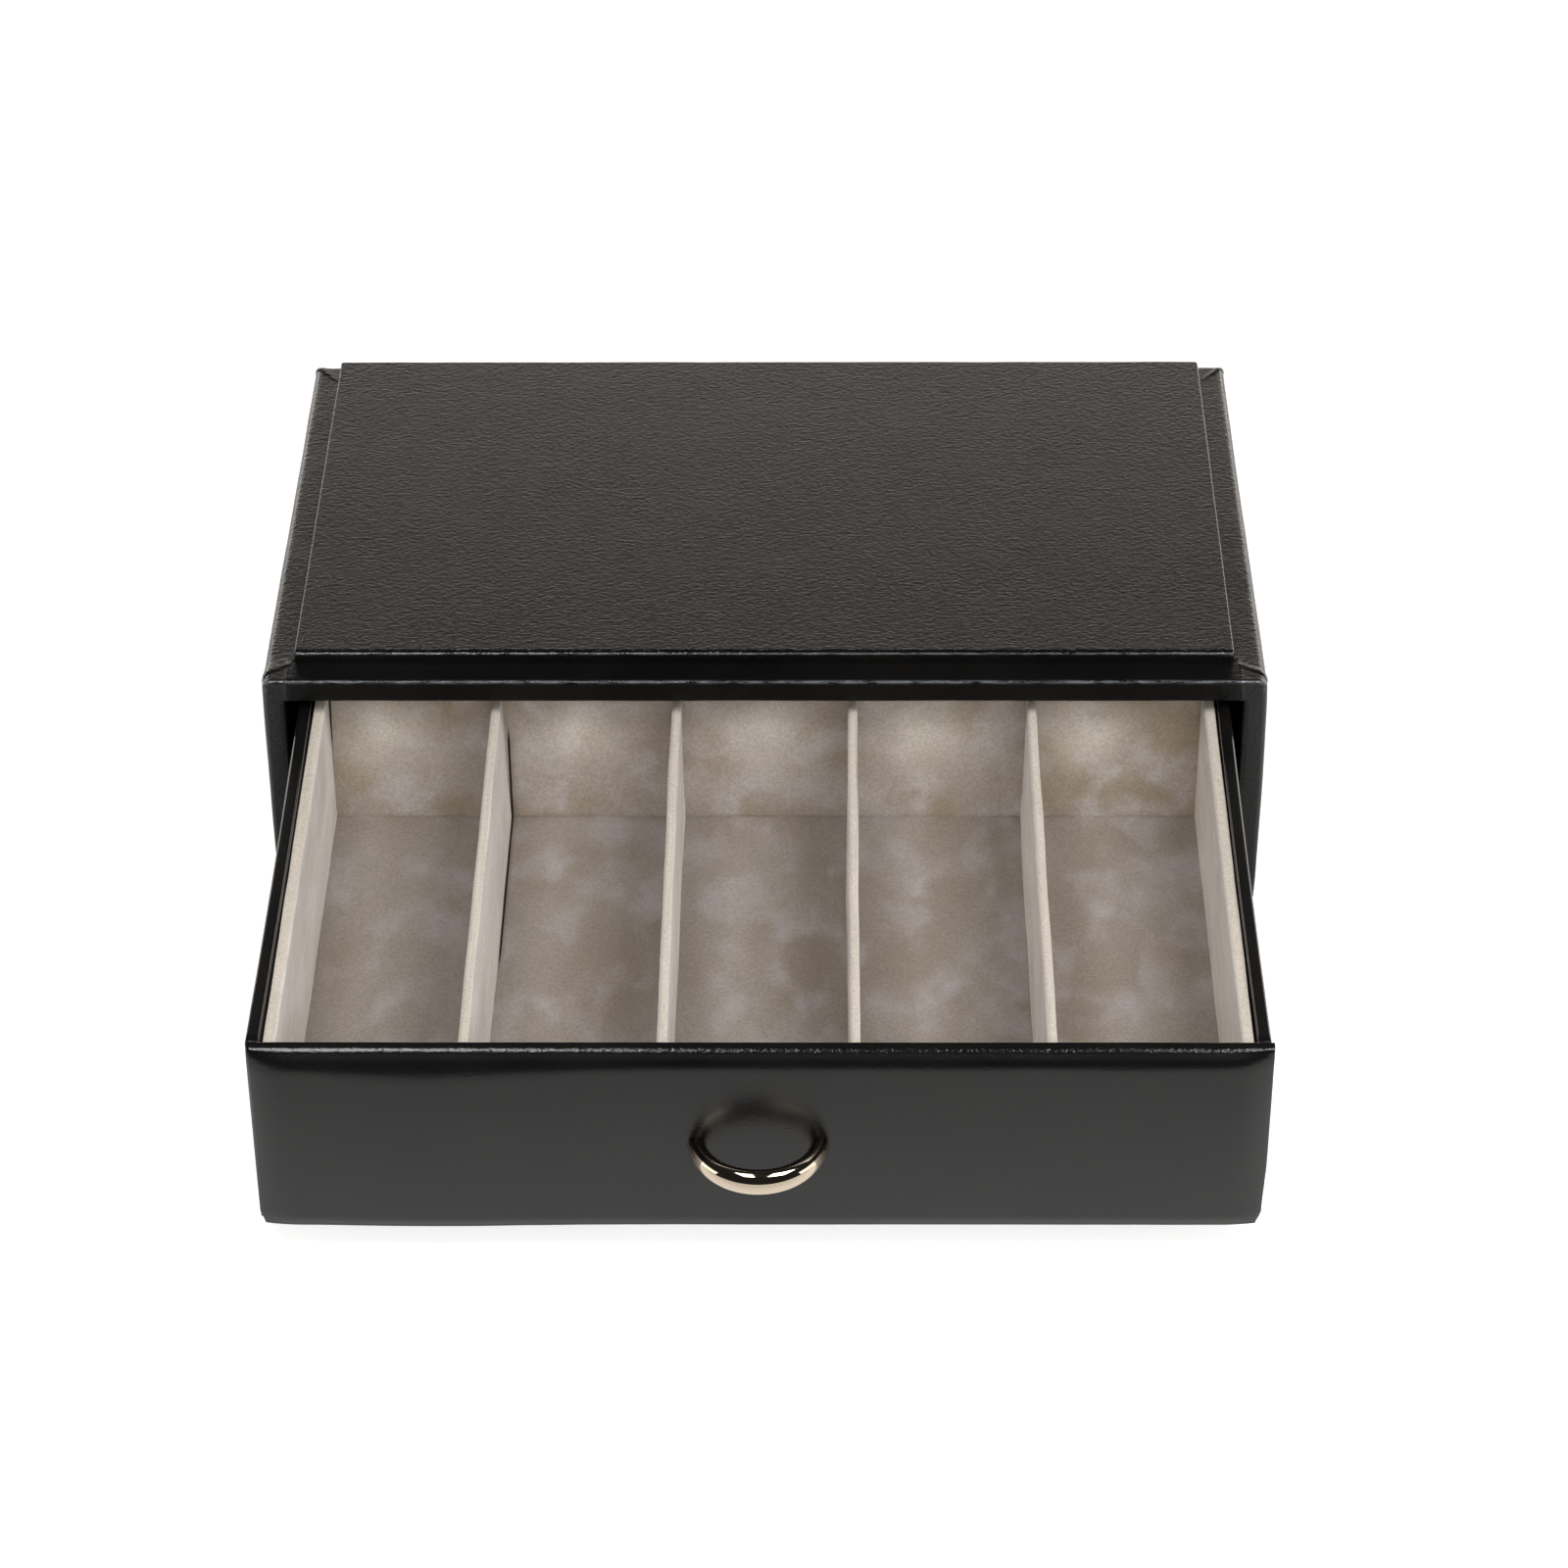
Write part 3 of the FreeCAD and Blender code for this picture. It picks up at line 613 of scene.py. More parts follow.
class Finishes:
    """Every material of the box, made once."""

    def __init__(self) -> None:
        """Make the materials."""
        self.hide = Leather("calf_leather_grained").make()
        self.edge_hide = Leather("calf_leather_edge", gloss=0.19, taut_roughness=0.08,
                                 crumple=0.4).make()
        self.front_hide = Leather("calf_leather_smooth", roughness=0.29, depth=0.05,
                                  wrinkle=1.5, wrinkle_across=1.0, fine_depth=0.01,
                                  crumple=1.5).make()
        self.wall_hide = Leather("calf_leather_wall", roughness=0.27, depth=0.03,
                                 way=Axis.Y).make()
        self.suede = Suede("velour_suede_floor").make()
        # The same suede with a finer, unstretched pattern; its colours are set lighter as painted
        # light for the light the back faces.
        self.suede_lit_back = Suede("velour_suede_painted_lit_back", taupe="#a29990", brown="#998c7b",
                                lilac="#b2aba7", cream="#dbd3c8", cloud=30.0, stretch=1.0).make()
        # The same suede with far lighter colours: painted light for the light on faces turned
        # sideways.
        self.suede_lit_side = Suede("velour_suede_painted_lit_side", taupe="#dcd6cf", brown="#cec7bf",
                                lilac="#e2ddd8", streak=0.35).make()
        self.nickel = Metal("polished_nickel_plate", "#d2c3af", 0.06, 0.02, 0.04).make()
        self.zinc = Metal("zinc_plated_steel", "#c3c5c8", 0.35, 0.15).make()
        self.board = Sheet("grey_board", "#8d8378", "#a39a8d", 1.2, 0.05).make()
        self.cloth = Sheet("black_book_cloth", "#131313", "#1c1b1b", 0.4, 0.06).make()
        self.foam = Sheet("polyether_foam", "#c9c2ae", "#d8d2c2", 0.8, 0.2).make()


# Casing


@dataclass
class Casing:
    """The sleeve: leather over board, with mitred folds at its four top corners."""

    finishes: Finishes
    post: float = 1.8
    back_post: float = 1.2
    back_lip: float = 2.6
    shoulder: float = 3.0
    lip: float = 1.4
    foot: float = 0.7
    mouth_edge: float = 0.8
    left_bulge: float = 0.55
    right_bulge: float = 1.35
    unevenness: float = 0.10
    fold_height: float = 0.38
    left_fold: float = 0.4
    seam_lift: float = 0.16
    dip: float = 2.2
    dip_depth: float = 0.45
    segments: int = 5
    mesh_step: float = 5.0
    fine_step: float = 0.6
    outer: Span = field(init=False)
    panel: Span = field(init=False)
    lining: Span = field(init=False)
    hollow: Span = field(init=False)

    def __post_init__(self) -> None:
        """Take the sizes from the frame."""
        sides = span("left_rim_cover", "right_rim_cover")
        edge = span("front_edge_cover")
        self.outer = Span(sides.low, Vector((sides.high.x, sides.high.y, edge.high.z)))
        self.panel = span("top_panel_cover")
        self.hollow = span("base_lining")
        run, ceiling = span("run_lining"), span("ceiling_lining")
        self.lining = Span(Vector((run.low.x, run.low.y, run.high.z)),
                           Vector((run.high.x, run.high.y, ceiling.low.z)))
        self.seam = edge.high.x
        self.turn = span("panel_infill").high.x
        self.front_turn = span("panel_infill").low.y
        self.back_turn = span("panel_infill").high.y

    def skin(self) -> BMesh:
        """The whole outer surface, open at the mouth and at the hollow underneath."""
        low, high = self.outer.low, self.outer.high

        def width_of(edge: BMEdge) -> float:
            """Rounding of an outer edge."""
            centre = (edge.verts[0].co + edge.verts[1].co) / 2
            behind = centre.y > self.outer.middle.y
            if runs_along(edge, Axis.Z):
                return self.back_post if behind else self.post
            if centre.z < 1:
                return self.foot
            if runs_along(edge, Axis.Y):
                return self.shoulder
            return self.back_lip if behind else self.lip

        mesh = rounded(block(self.outer), width_of, self.segments)
        mouth, hollow = self.lining, self.hollow
        slice_at(mesh, Axis.X, [mouth.low.x, mouth.high.x])
        slice_at(mesh, Axis.Z, [mouth.low.z, mouth.high.z])
        slice_at(mesh, Axis.Y, [hollow.low.y, hollow.high.y])

        def in_mouth(centre: Vector, normal: Vector) -> bool:
            """Whether a face closes the mouth."""
            return (normal.y < -0.9 and abs(centre.x) < mouth.high.x
                    and mouth.low.z < centre.z < mouth.high.z)

        def in_hollow(centre: Vector, normal: Vector) -> bool:
            """Whether a face closes the hollow."""
            return (normal.z < -0.9 and abs(centre.x) < mouth.high.x
                    and hollow.low.y < centre.y < hollow.high.y)

        for closes, way in ((in_mouth, Vector((0, mouth.low.y, 0))),
                            (in_hollow, Vector((0, 0, hollow.low.z)))):
            before = {edge for edge in mesh.edges if edge.is_boundary}
            drop_faces(mesh, closes)
            rim = [edge for edge in mesh.edges if edge.is_boundary and edge not in before]
            made = bmesh.ops.extrude_edge_only(mesh, edges=rim)["geom"]
            bmesh.ops.translate(mesh, vec=way, verts=[
                part for part in made if isinstance(part, bmesh.types.BMVert)])
            bmesh.ops.bevel(mesh, geom=rim, offset=self.mouth_edge, offset_type="OFFSET",
                            segments=3, profile=0.5, affect="EDGES", material=-1)
        bmesh.ops.remove_doubles(mesh, verts=mesh.verts, dist=1e-4)
        slice_at(mesh, Axis.X, [sign * place for sign in (-1, 1)
                                for place in (self.seam, self.turn)])
        slice_at(mesh, Axis.Y, [self.panel.low.y, self.front_turn, self.back_turn])
        drop_faces(mesh, lambda centre, normal: (
            normal.z > 0.9 and centre.z > high.z - 1 and abs(centre.x) < self.turn
            and self.front_turn < centre.y < self.back_turn))
        slice_at(mesh, Axis.X, steps(low.x, high.x, self.mesh_step))
        slice_at(mesh, Axis.Y, steps(low.y, high.y, self.mesh_step))
        slice_at(mesh, Axis.Z, steps(low.z, high.z, self.mesh_step))
        corner = self.outer.high.z - 6

        def near_corner(centre: Vector) -> bool:
            """Whether a face lies by one of the top corners."""
            beside = abs(centre.x) > self.seam - 1
            ends = centre.y < self.panel.low.y + 1 or centre.y > self.panel.high.y - 9
            return centre.z > corner and beside and ends

        for sign in (-1, 1):
            places = [sign * place for place in steps(self.seam, high.x, self.fine_step)]
            slice_at(mesh, Axis.X, places, near_corner)
        slice_at(mesh, Axis.Y, steps(low.y, self.panel.low.y, self.fine_step), near_corner)
        slice_at(mesh, Axis.Y, steps(self.panel.high.y - 9, high.y, self.fine_step),
                 near_corner)
        bmesh.ops.remove_doubles(mesh, verts=mesh.verts, dist=0.03)
        return mesh

    def swell(self, place: Vector, normal: Vector) -> Vector:
        """How the padding and the hand of the maker move a point of the leather."""
        size = self.outer.size
        along = 1 - 0.85 * ease(place.y, 10, size.y * 0.7)
        up = max(0.0, math.sin(math.pi * min(1, max(0, place.z / size.z)))) ** 0.25
        side = ease(abs(place.x), self.lining.high.x + 1, self.outer.high.x)
        bulge = self.right_bulge if place.x > 0 else self.left_bulge
        outwards = math.copysign(bulge * along * up * side, place.x)
        rough = self.unevenness * (ripple(place, 26, 3.1) + 0.5 * ripple(place, 9, 7.7))
        return Vector((outwards, 0, 0)) + normal * rough * ease(place.z, 0.5, 4)

    def fold(self, place: Vector) -> float:
        """How far a mitred fold lifts the side leather at a point."""
        if place.z < self.outer.high.z - 3.5:
            return 0.0
        across = abs(place.x) - self.seam
        depth = self.outer.high.x - self.seam
        if across < -0.1:
            return 0.0
        if place.y < self.outer.middle.y:
            start, end = self.panel.low.y - 1.5, 4.1
        else:
            start, end = self.panel.high.y - 7.0, self.outer.high.y - 1.2
        share = min(1.0, across / depth)
        behind = place.y - start - (end - start) * share
        width = 0.2 + 1.1 * share
        if behind < -0.25:
            return 0.0
        rise = ease(behind, -0.25, 0.2)
        fall = 1 - ease(behind, width, width + (3.0 if place.x > 0 else 7.0))
        height = self.fold_height if place.x > 0 else self.left_fold
        return height * rise * fall * (0.4 + 0.6 * share)

    def cover(self, name: str, replaces: list[str],
              mine: Callable[[Vector, Vector], bool], beside: bool = False,
              hide: bpy.types.Material | None = None) -> None:
        """Make one piece of leather out of the skin.

        Args:
            name: Name of the piece.
            replaces: CAD nodes that it stands for.
            mine: Whether a face of the skin, by its centre and normal, belongs to it.
            beside: Whether it is a side, with folds and the upper layer at the seams.
            hide: Its leather, or None for that of the casing.
        """
        mesh = self.base.copy()
        drop_faces(mesh, lambda centre, normal: not mine(centre, normal))
        loose = [vert for vert in mesh.verts if not vert.link_faces]
        bmesh.ops.delete(mesh, geom=loose, context="VERTS")
        top = self.outer.high.z - 1.5 * self.lip
        # The front lip gets a painted highlight.
        mark_taut(mesh, lambda place: place.z > top and place.y < 1.5 * self.lip)

        def change(place: Vector, normal: Vector) -> Vector:
            """Full movement of a point."""
            move = self.swell(place, normal)
            if beside:
                by_seam = 1 - ease(abs(place.x) - self.seam, 0.0, 1.6)
                front = place.y < self.panel.low.y and place.z > self.lining.low.z
                lift = self.fold(place) + (self.seam_lift * by_seam if front else 0.0)
                move = move + normal * lift
            return move

        move_points(mesh, change)
        finish_piece(name, mesh, Body.CASING, hide or self.finishes.hide,
                     replaces, Shell())

    def build(self) -> None:
        """Make every cover of the casing and the raised panel."""
        self.base = self.skin()
        seam, turn = self.seam, self.turn
        panel_front, rim = self.panel.low.y, self.lining.high.x
        top, back = self.outer.high.z - 0.3, self.outer.high.y - 0.3
        mouth = self.lining

        def side(centre: Vector, normal: Vector) -> bool:
            """Whether a face belongs to one of the sides."""
            if centre.z < 5.5 and normal.z < 0.2 and abs(normal.x) < 0.9 and centre.z < 1.2:
                return abs(centre.x) > rim
            if abs(centre.x) > seam:
                return True
            wide = abs(centre.x) > turn
            return wide and (centre.y > back or (centre.z > top and centre.y > panel_front))

        def front_edge(centre: Vector, normal: Vector) -> bool:
            """Whether a face belongs to the edge over the mouth."""
            if side(centre, normal) or centre.y > self.front_turn:
                return False
            return centre.z > mouth.high.z - 0.5

        def sill(centre: Vector, normal: Vector) -> bool:
            """Whether a face belongs to the edge under the mouth."""
            if side(centre, normal) or centre.y > mouth.low.y + 0.1:
                return False
            return centre.z < mouth.low.z + 0.5

        def rear(centre: Vector, normal: Vector) -> bool:
            """Whether a face belongs to the back."""
            return not side(centre, normal) and centre.y > self.back_turn

        self.cover("left_leather", ["left_cover", "left_rim_cover"],
                   lambda c, n: c.x < 0 and side(c, n), beside=True)
        self.cover("right_leather", ["right_cover", "right_rim_cover"],
                   lambda c, n: c.x > 0 and side(c, n), beside=True)
        self.cover("front_edge_leather", ["front_edge_cover"], front_edge,
                   hide=self.finishes.edge_hide)
        self.cover("sill_leather", ["base_edge_cover", "front_rim_cover"], sill)
        self.cover("back_leather", ["back_cover", "back_rim_cover"], rear)
        self.base.free()
        self.raised_panel()

    def raised_panel(self) -> None:
        """Make the leather of the raised panel on the top."""
        top = self.panel.high.z

        def width_of(edge: BMEdge) -> float:
            """Rounding of an edge of the panel."""
            if runs_along(edge, Axis.Z):
                return 1.6
            return 0.7 if edge.verts[0].co.z > top - 1 else 0.0

        mesh = rounded(block(self.panel), width_of, self.segments)
        drop_faces(mesh, lambda centre, normal: normal.z < -0.9)
        low, high = self.panel.low, self.panel.high
        near = [self.dip * share for share in (0.5, 0.62, 0.75, 0.88, 1.0, 1.3)]
        slice_at(mesh, Axis.X, [low.x + away for away in near] + [high.x - away for away in near]
                 + steps(low.x + 4, high.x - 4, 4.0))
        slice_at(mesh, Axis.Y, [low.y + away for away in near] + [high.y - away for away in near]
                 + steps(low.y + 4, high.y - 4, 4.0))
        slice_at(mesh, Axis.Z, steps(self.panel.low.z, top - 1.0, 1.2))

        def change(place: Vector, normal: Vector) -> Vector:
            """Unevenness of the edges, and the level face left nearly flat."""
            edge = 1.0 if abs(normal.z) < 0.95 else 0.35
            level = ripple(place, 22, 5.3) * 0.07 + ripple(place, 7, 1.9) * 0.04
            away = max(0.0, place.y - low.y)
            sunk = self.dip_depth * (1 - min(1.0, away / self.dip)) ** 2
            return normal * level * edge - Vector((0, 0, sunk * ease(place.z, top - 2, top)))

        # Every top edge of the panel gets a painted highlight.
        mark_taut(mesh, lambda place: place.z > top - 1.2)
        taut = mesh.verts.layers.float["taut"]
        for vert in mesh.verts:
            away = vert.co.y - low.y
            vert[taut] = max(vert[taut], 1 - ease(away, 0.7 * self.dip, 1.3 * self.dip))
        move_points(mesh, change)
        finish_piece("panel_leather", mesh, Body.CASING, self.finishes.hide,
                     ["top_panel_cover"], Shell())


# Drawer


@dataclass
class PaddedFront:
    """The drawer's front: thin foam under leather, fullest a finger's width from its edges."""

    finishes: Finishes
    crown: float = 3.0
    belly: float = 1.2
    shoulder: float = 8.0
    wide_crown: float = 1.0
    wide_shoulder: float = 4.0
    lower_shoulder: float = 6.0
    lower_crown: float = 2.0
    end_shoulder: float = 14.0
    rim: float = 3.2
    rim_slope: float = 0.20
    edge: float = 1.1
    fold_in: float = 1.8
    fold_rise: float = 5.5
    left_in: float = 1.75
    right_in: float = 0.38
    right_taper: float = 0.9
    box: Span = field(init=False)

    def __post_init__(self) -> None:
        """Take the sizes from the frame."""
        cover = span("drawer_front_cover")
        self.back = cover.high.y
        self.box = Span(Vector((cover.low.x, cover.high.y - self.rim, cover.low.z)), cover.high)

    def fullness(self, place: Vector) -> float:
        """How far the face stands out at a point."""
        top = self.box.high.z - place.z
        foot = place.z - self.box.low.z
        end = self.box.high.x - abs(place.x)
        wide = math.exp(-((place.x + 105) / 38) ** 2)
        reach = self.shoulder + self.wide_shoulder * wide
        reach += 0.9 * ripple(Vector((place.x, 0, 0)), 30, 2.2)
        full = self.crown + self.wide_crown * wide
        upper = full * (1 - min(1.0, max(0.0, top / reach))) ** 2
        lower = self.lower_crown * (1 - min(1.0, max(0.0, foot / self.lower_shoulder))) ** 2
        height = self.box.size.z
        belly = self.belly * 4 * top * foot / height ** 2
        ends = 1 - (1 - min(1.0, max(0.0, end / self.end_shoulder))) ** 2
        return max(0.0, self.crown + wide - upper - lower + belly) * ends

    def drawn_in(self, place: Vector, reach: float) -> float:
        """How far the leather pulls the ends of the front inwards at a point.

        Args:
            place: The point.
            reach: Distance of the end from the middle before it is drawn in.

        Returns:
            The distance that the point moves toward the middle.
        """
        foot = place.z - self.box.low.z
        low = 1 - min(1.0, max(0.0, foot / self.fold_rise))
        end = self.left_in
        if place.x > 0:
            end = self.right_in + self.right_taper * (1 - ease(foot, 4, 30))
        return max(0.0, abs(place.x) - (reach - end - self.fold_in * low))

    def board(self) -> None:
        """Make the board inside the front, its ends cut to the drawn-in leather."""
        box = span("drawer_front_board")
        mesh = rounded(block(box), lambda edge: 0.3, 2)
        slice_at(mesh, Axis.Z, steps(box.low.z, box.low.z + 9, 1.2)
                 + steps(box.low.z + 9, box.high.z, 6.0))
        slice_at(mesh, Axis.X, [sign * (box.high.x - 4) for sign in (-1, 1)])
        move_points(mesh, lambda place, normal: Vector((
            -math.copysign(self.drawn_in(place, box.high.x), place.x), 0, 0)))
        finish_piece("front_board", mesh, Body.DRAWER, self.finishes.board,
                     ["drawer_front_board"])

    def build(self) -> None:
        """Make the padded front."""
        self.board()
        box = self.box

        def width_of(edge: BMEdge) -> float:
            """Rounding of an edge, the one round the face softer."""
            on_face = all(vert.co.y < box.low.y + 0.1 for vert in edge.verts)
            return self.edge if on_face else 0.5

        mesh = rounded(block(box), width_of, 5)
        slice_at(mesh, Axis.X, steps(box.low.x, box.high.x, 3.0))
        slice_at(mesh, Axis.Z, steps(box.low.z, box.low.z + 9, 1.2)
                 + steps(box.low.z + 9, box.high.z - 17, 4.0)
                 + steps(box.high.z - 17, box.high.z - self.edge, 0.8))
        mark_taut(mesh)

        def change(place: Vector, normal: Vector) -> Vector:
            """The padding, the drawn-in lower corners and a little unevenness."""
            forwards = ease(place.y, self.back - 0.6, box.low.y + 0.2)
            out = Vector((0, -self.fullness(place) * forwards, 0))
            out.x = -math.copysign(self.drawn_in(place, box.high.x), place.x)
            by_rim = ease(place.z, box.high.z - 4, box.high.z - 1)
            out.z = -self.rim_slope * (self.back - place.y) * by_rim
            rough = 0.07 * ripple(place, 24, 4.4) + 0.04 * ripple(place, 6, 9.1)
            return out + normal * rough

        move_points(mesh, change)
        piece = finish_piece("front_padded_leather", mesh, Body.DRAWER,
                             self.finishes.front_hide,
                             ["drawer_front_cover", "drawer_front_pad"])


@dataclass
class Walls:
    """Leather over the drawer's two side walls, turned down inside."""

    finishes: Finishes
    rim: float = 1.0
    turned: float = 25.0
    bow: float = 0.9

    def build(self) -> None:
        """Make both walls."""
        for side, sign in (("left", -1), ("right", 1)):
            box = span("drawer_%s_cover" % side)
            top = box.high.z

            def width_of(edge: BMEdge) -> float:
                """Rounding of the two upper edges."""
                above = edge.verts[0].co.z > top - 1
                return self.rim if above and runs_along(edge, Axis.Y) else 0.0

            mesh = rounded(block(box), width_of, 5)
            inner = box.low.x if sign > 0 else box.high.x
            slice_at(mesh, Axis.Z, [top - self.turned])
            drop_faces(mesh, lambda centre, normal: (
                normal.z < -0.9 or abs(normal.y) > 0.9
                or (abs(centre.x - inner) < 0.1 and centre.z < top - self.turned)))
            slice_at(mesh, Axis.Y, steps(box.low.y, box.high.y, 4.0))
            slice_at(mesh, Axis.Z, steps(box.low.z, top - self.turned, 8.0)
                     + steps(top - self.turned, top - 1, 5.0))

            def change(place: Vector, normal: Vector) -> Vector:
                """Bow of the wall and unevenness of its rim."""
                along = (place.y - box.low.y) / box.size.y
                bent = self.bow * math.sin(math.pi * min(1, max(0, along)))
                share = ease(place.z, box.low.z + 5, top)
                rough = 0.06 * ripple(place, 20, 6.2) + 0.03 * ripple(place, 7, 8.8)
                return Vector((-sign * bent * share * 0.5, 0, 0)) + normal * rough

            mark_taut(mesh)
            move_points(mesh, change)
            finish_piece("wall_%s_leather" % side, mesh, Body.DRAWER,
                         self.finishes.wall_hide,
                         ["drawer_%s_cover" % side], Shell())


@dataclass
class BowHandle:
    """Cast bow handle, nickel plated and polished, thicker and upright oval in the middle."""

    finishes: Finishes
    foot: float = 6.2
    tall: float = 8.8
    deep: float = 6.7
    radius: float = 19.5
    steps: int = 96
    around: int = 40
    sunk: float = 0.5

    def build(self) -> None:
        """Make the handle."""
        box = span("pull_handle")
        centre = Vector((0, box.high.y, box.middle.z))
        mesh = bmesh.new()
        bmesh.ops.create_circle(mesh, segments=self.around, radius=self.foot / 2,
                                matrix=Matrix.Translation(centre + Vector((-self.radius, 0, 0)))
                                @ Matrix.Rotation(math.pi / 2, 4, "X"))
        ring = mesh.edges[:]
        bmesh.ops.spin(mesh, geom=ring, cent=centre, axis=(0, 0, 1), angle=math.pi,
                       steps=self.steps, dvec=(0, 0, 0))
        for vert in mesh.verts:
            flat = Vector((vert.co.x, vert.co.y - centre.y))
            turn = math.atan2(-flat.y, -flat.x)
            swell = max(0.0, math.sin(turn)) ** 1.3
            tall = 1 + (self.tall / self.foot - 1) * swell
            deep = 1 + (self.deep / self.foot - 1) * swell
            heart = centre + Vector((-math.cos(turn), -math.sin(turn), 0)) * self.radius
            away = vert.co - heart
            vert.co = heart + Vector((away.x * deep, away.y * deep, away.z * tall))
        rims = [edge for edge in mesh.edges if edge.is_boundary]
        made = bmesh.ops.extrude_edge_only(mesh, edges=rims)["geom"]
        ends = [part for part in made if isinstance(part, bmesh.types.BMVert)]
        bmesh.ops.translate(mesh, vec=(0, self.sunk, 0), verts=ends)
        bmesh.ops.holes_fill(mesh, edges=[edge for edge in mesh.edges if edge.is_boundary],
                             sides=0)
        bmesh.ops.recalc_face_normals(mesh, faces=mesh.faces)
        finish_piece("bow_handle", mesh, Body.DRAWER, self.finishes.nickel,
                     ["pull_handle"])


@dataclass
class Insert:
    """Suede insert with five compartments: padded floor, four linings and the dividers."""

    finishes: Finishes
    top_radius: float = 1.3
    # Depth below the top over which the painted highlight fades in.
    top_highlight_depth: float = 0.9
    gap: float = 0.8
    open_depth: float = 1.2
    open_at: float = field(init=False)

    def __post_init__(self) -> None:
        """Take the place of the gap beside the first divider from the frame."""
        self.open_at = span("divider_1").high.x + 0.75

    def pad(self, name: str, node_names: list[str], material: bpy.types.Material,
            rounded_at: Callable[[BMEdge, Span], bool],
            change: Callable[[Vector, Vector, Span], Vector], step: float = 3.0,
            top_highlighted: bool = True) -> None:
        """Make one suede-covered part.

        Args:
            name: Name of the piece.
            node_names: CAD nodes it stands for; the first gives its box.
            material: Its suede.
            rounded_at: Which edges of its box are rounded.
            change: How a point moves.
            step: Distance between its edges.
            top_highlighted: Whether its upper edge gets the painted highlight.
        """
        box = span(node_names[0])
        mesh = rounded(block(box), lambda edge: (
            self.top_radius if rounded_at(edge, box) else 0.25), 5)
        for axis in Axis:
            low, high = box.low[axis.value], box.high[axis.value]
            if high - low > 2 * step:
                slice_at(mesh, axis, steps(low, high, step))
        if "divider" not in name:
            slice_at(mesh, Axis.X, [self.open_at + away for away in (-0.55, -0.2, 0.2, 0.55)])
            # The same amount darkens the suede there with a painted shade.
            opened = mesh.verts.layers.float.new("open")
            for vert in mesh.verts:
                vert[opened] = self.opened(vert.co)
        if "back" in name:
            cream_spot = mesh.verts.layers.float.new("cream_spot")
            for vert in mesh.verts:
                vert[cream_spot] = self.cream_spot(vert.co, box)
        # Painted highlight along the upper edge, full at the top.
        top_highlight = mesh.verts.layers.float.new("top_highlight")
        for vert in mesh.verts if top_highlighted else ():
            vert[top_highlight] = ease(vert.co.z, box.high.z - self.top_highlight_depth, box.high.z - 0.2)

        def moved(place: Vector, normal: Vector) -> Vector:
            """Full movement of a point, also into the gap."""
            facing = ease(max(normal.z, -normal.y), 0.7, 0.9)
            slit = self.opened(place) if "divider" not in name else 0.0
            return change(place, normal, box) - normal * self.open_depth * slit * facing

        move_points(mesh, moved)
        piece = finish_piece(name, mesh, Body.DRAWER, material, node_names)

    def opened(self, place: Vector) -> float:
        """How far a thin gap is open beside the first divider, on the floor and the back, and how
        strongly its painted shade darkens the suede.
        """
        near = 1 - ease(abs(place.x - self.open_at), 0.25, 0.5)
        return near * ease(place.y, -76, -62) * (1 - ease(place.z, 62, 70))

    def cream_spot(self, place: Vector, box: Span) -> float:
        """How much paler cream the back is at a point: one soft spot in the upper middle of each
        compartment.
        """
        bay = box.size.x / 5
        number = min(4, max(0, int((place.x - box.low.x) / bay)))
        share = (0.30, 0.46, 0.5, 0.42, 0.36)[number]
        across = (place.x - box.low.x) / bay - number - share
        up = (place.z - box.low.z) / box.size.z - 0.72
        near = math.exp(-(across / 0.21) ** 2 - (up / 0.28) ** 2)
        return min(1.0, near * (0.65 + 0.5 * ripple(place, 14, 8.3)))

    def build(self) -> None:
        """Make the whole insert."""
        def soft(place: Vector, normal: Vector, box: Span) -> Vector:
            """Unevenness of a padded board."""
            return normal * (0.16 * ripple(place, 24, 1.3) + 0.06 * ripple(place, 7, 6.6))

        def floor_change(place: Vector, normal: Vector, box: Span) -> Vector:
            """Unevenness of the floor."""
            return Vector((0, 0, 0.25 * ripple(place, 30, 2.7) * ease(normal.z, 0.5, 1)))

        self.pad("suede_floor", ["insert_floor", "floor_pad"], self.finishes.suede,
                 lambda edge, box: False, floor_change, 4.0, top_highlighted=False)
        inner = {
            "insert_left_lining": lambda edge, box: edge.verts[0].co.x > box.middle.x,
            "insert_right_lining": lambda edge, box: edge.verts[0].co.x < box.middle.x,
            "insert_back_lining": lambda edge, box: edge.verts[0].co.y < box.middle.y,
            "insert_front_lining": lambda edge, box: edge.verts[0].co.y > box.middle.y,
        }
        def short(place: Vector, normal: Vector, box: Span) -> Vector:
            """Unevenness of the back, whose left end stands open at the top."""
            by_end = 1 - ease(place.x, box.low.x + 0.5, box.low.x + 2.5)
            up = ease(place.z, box.low.z + 12, box.high.z)
            return soft(place, normal, box) + Vector((self.gap * by_end * up, 0, 0))

        for name, within in inner.items():
            along = Axis.Y if "left" in name or "right" in name else Axis.X
            # Sides and dividers take the suede copy made lighter with painted light; the back takes
            # its own lighter copy.
            material = self.finishes.suede_lit_side if along is Axis.Y else self.finishes.suede_lit_back

            def rounded_at(edge: BMEdge, box: Span, within: Callable = within,
                           along: Axis = along) -> bool:
                """Upper inner edge."""
                above = all(vert.co.z > box.high.z - 0.1 for vert in edge.verts)
                return above and runs_along(edge, along) and within(edge, box)

            change = short if "back" in name else soft
            self.pad(name.replace("insert", "suede"), [name], material, rounded_at, change)

        def divider_edge(edge: BMEdge, box: Span) -> bool:
            """Both long upper edges."""
            above = all(vert.co.z > box.high.z - 0.1 for vert in edge.verts)
            return above and runs_along(edge, Axis.Y)

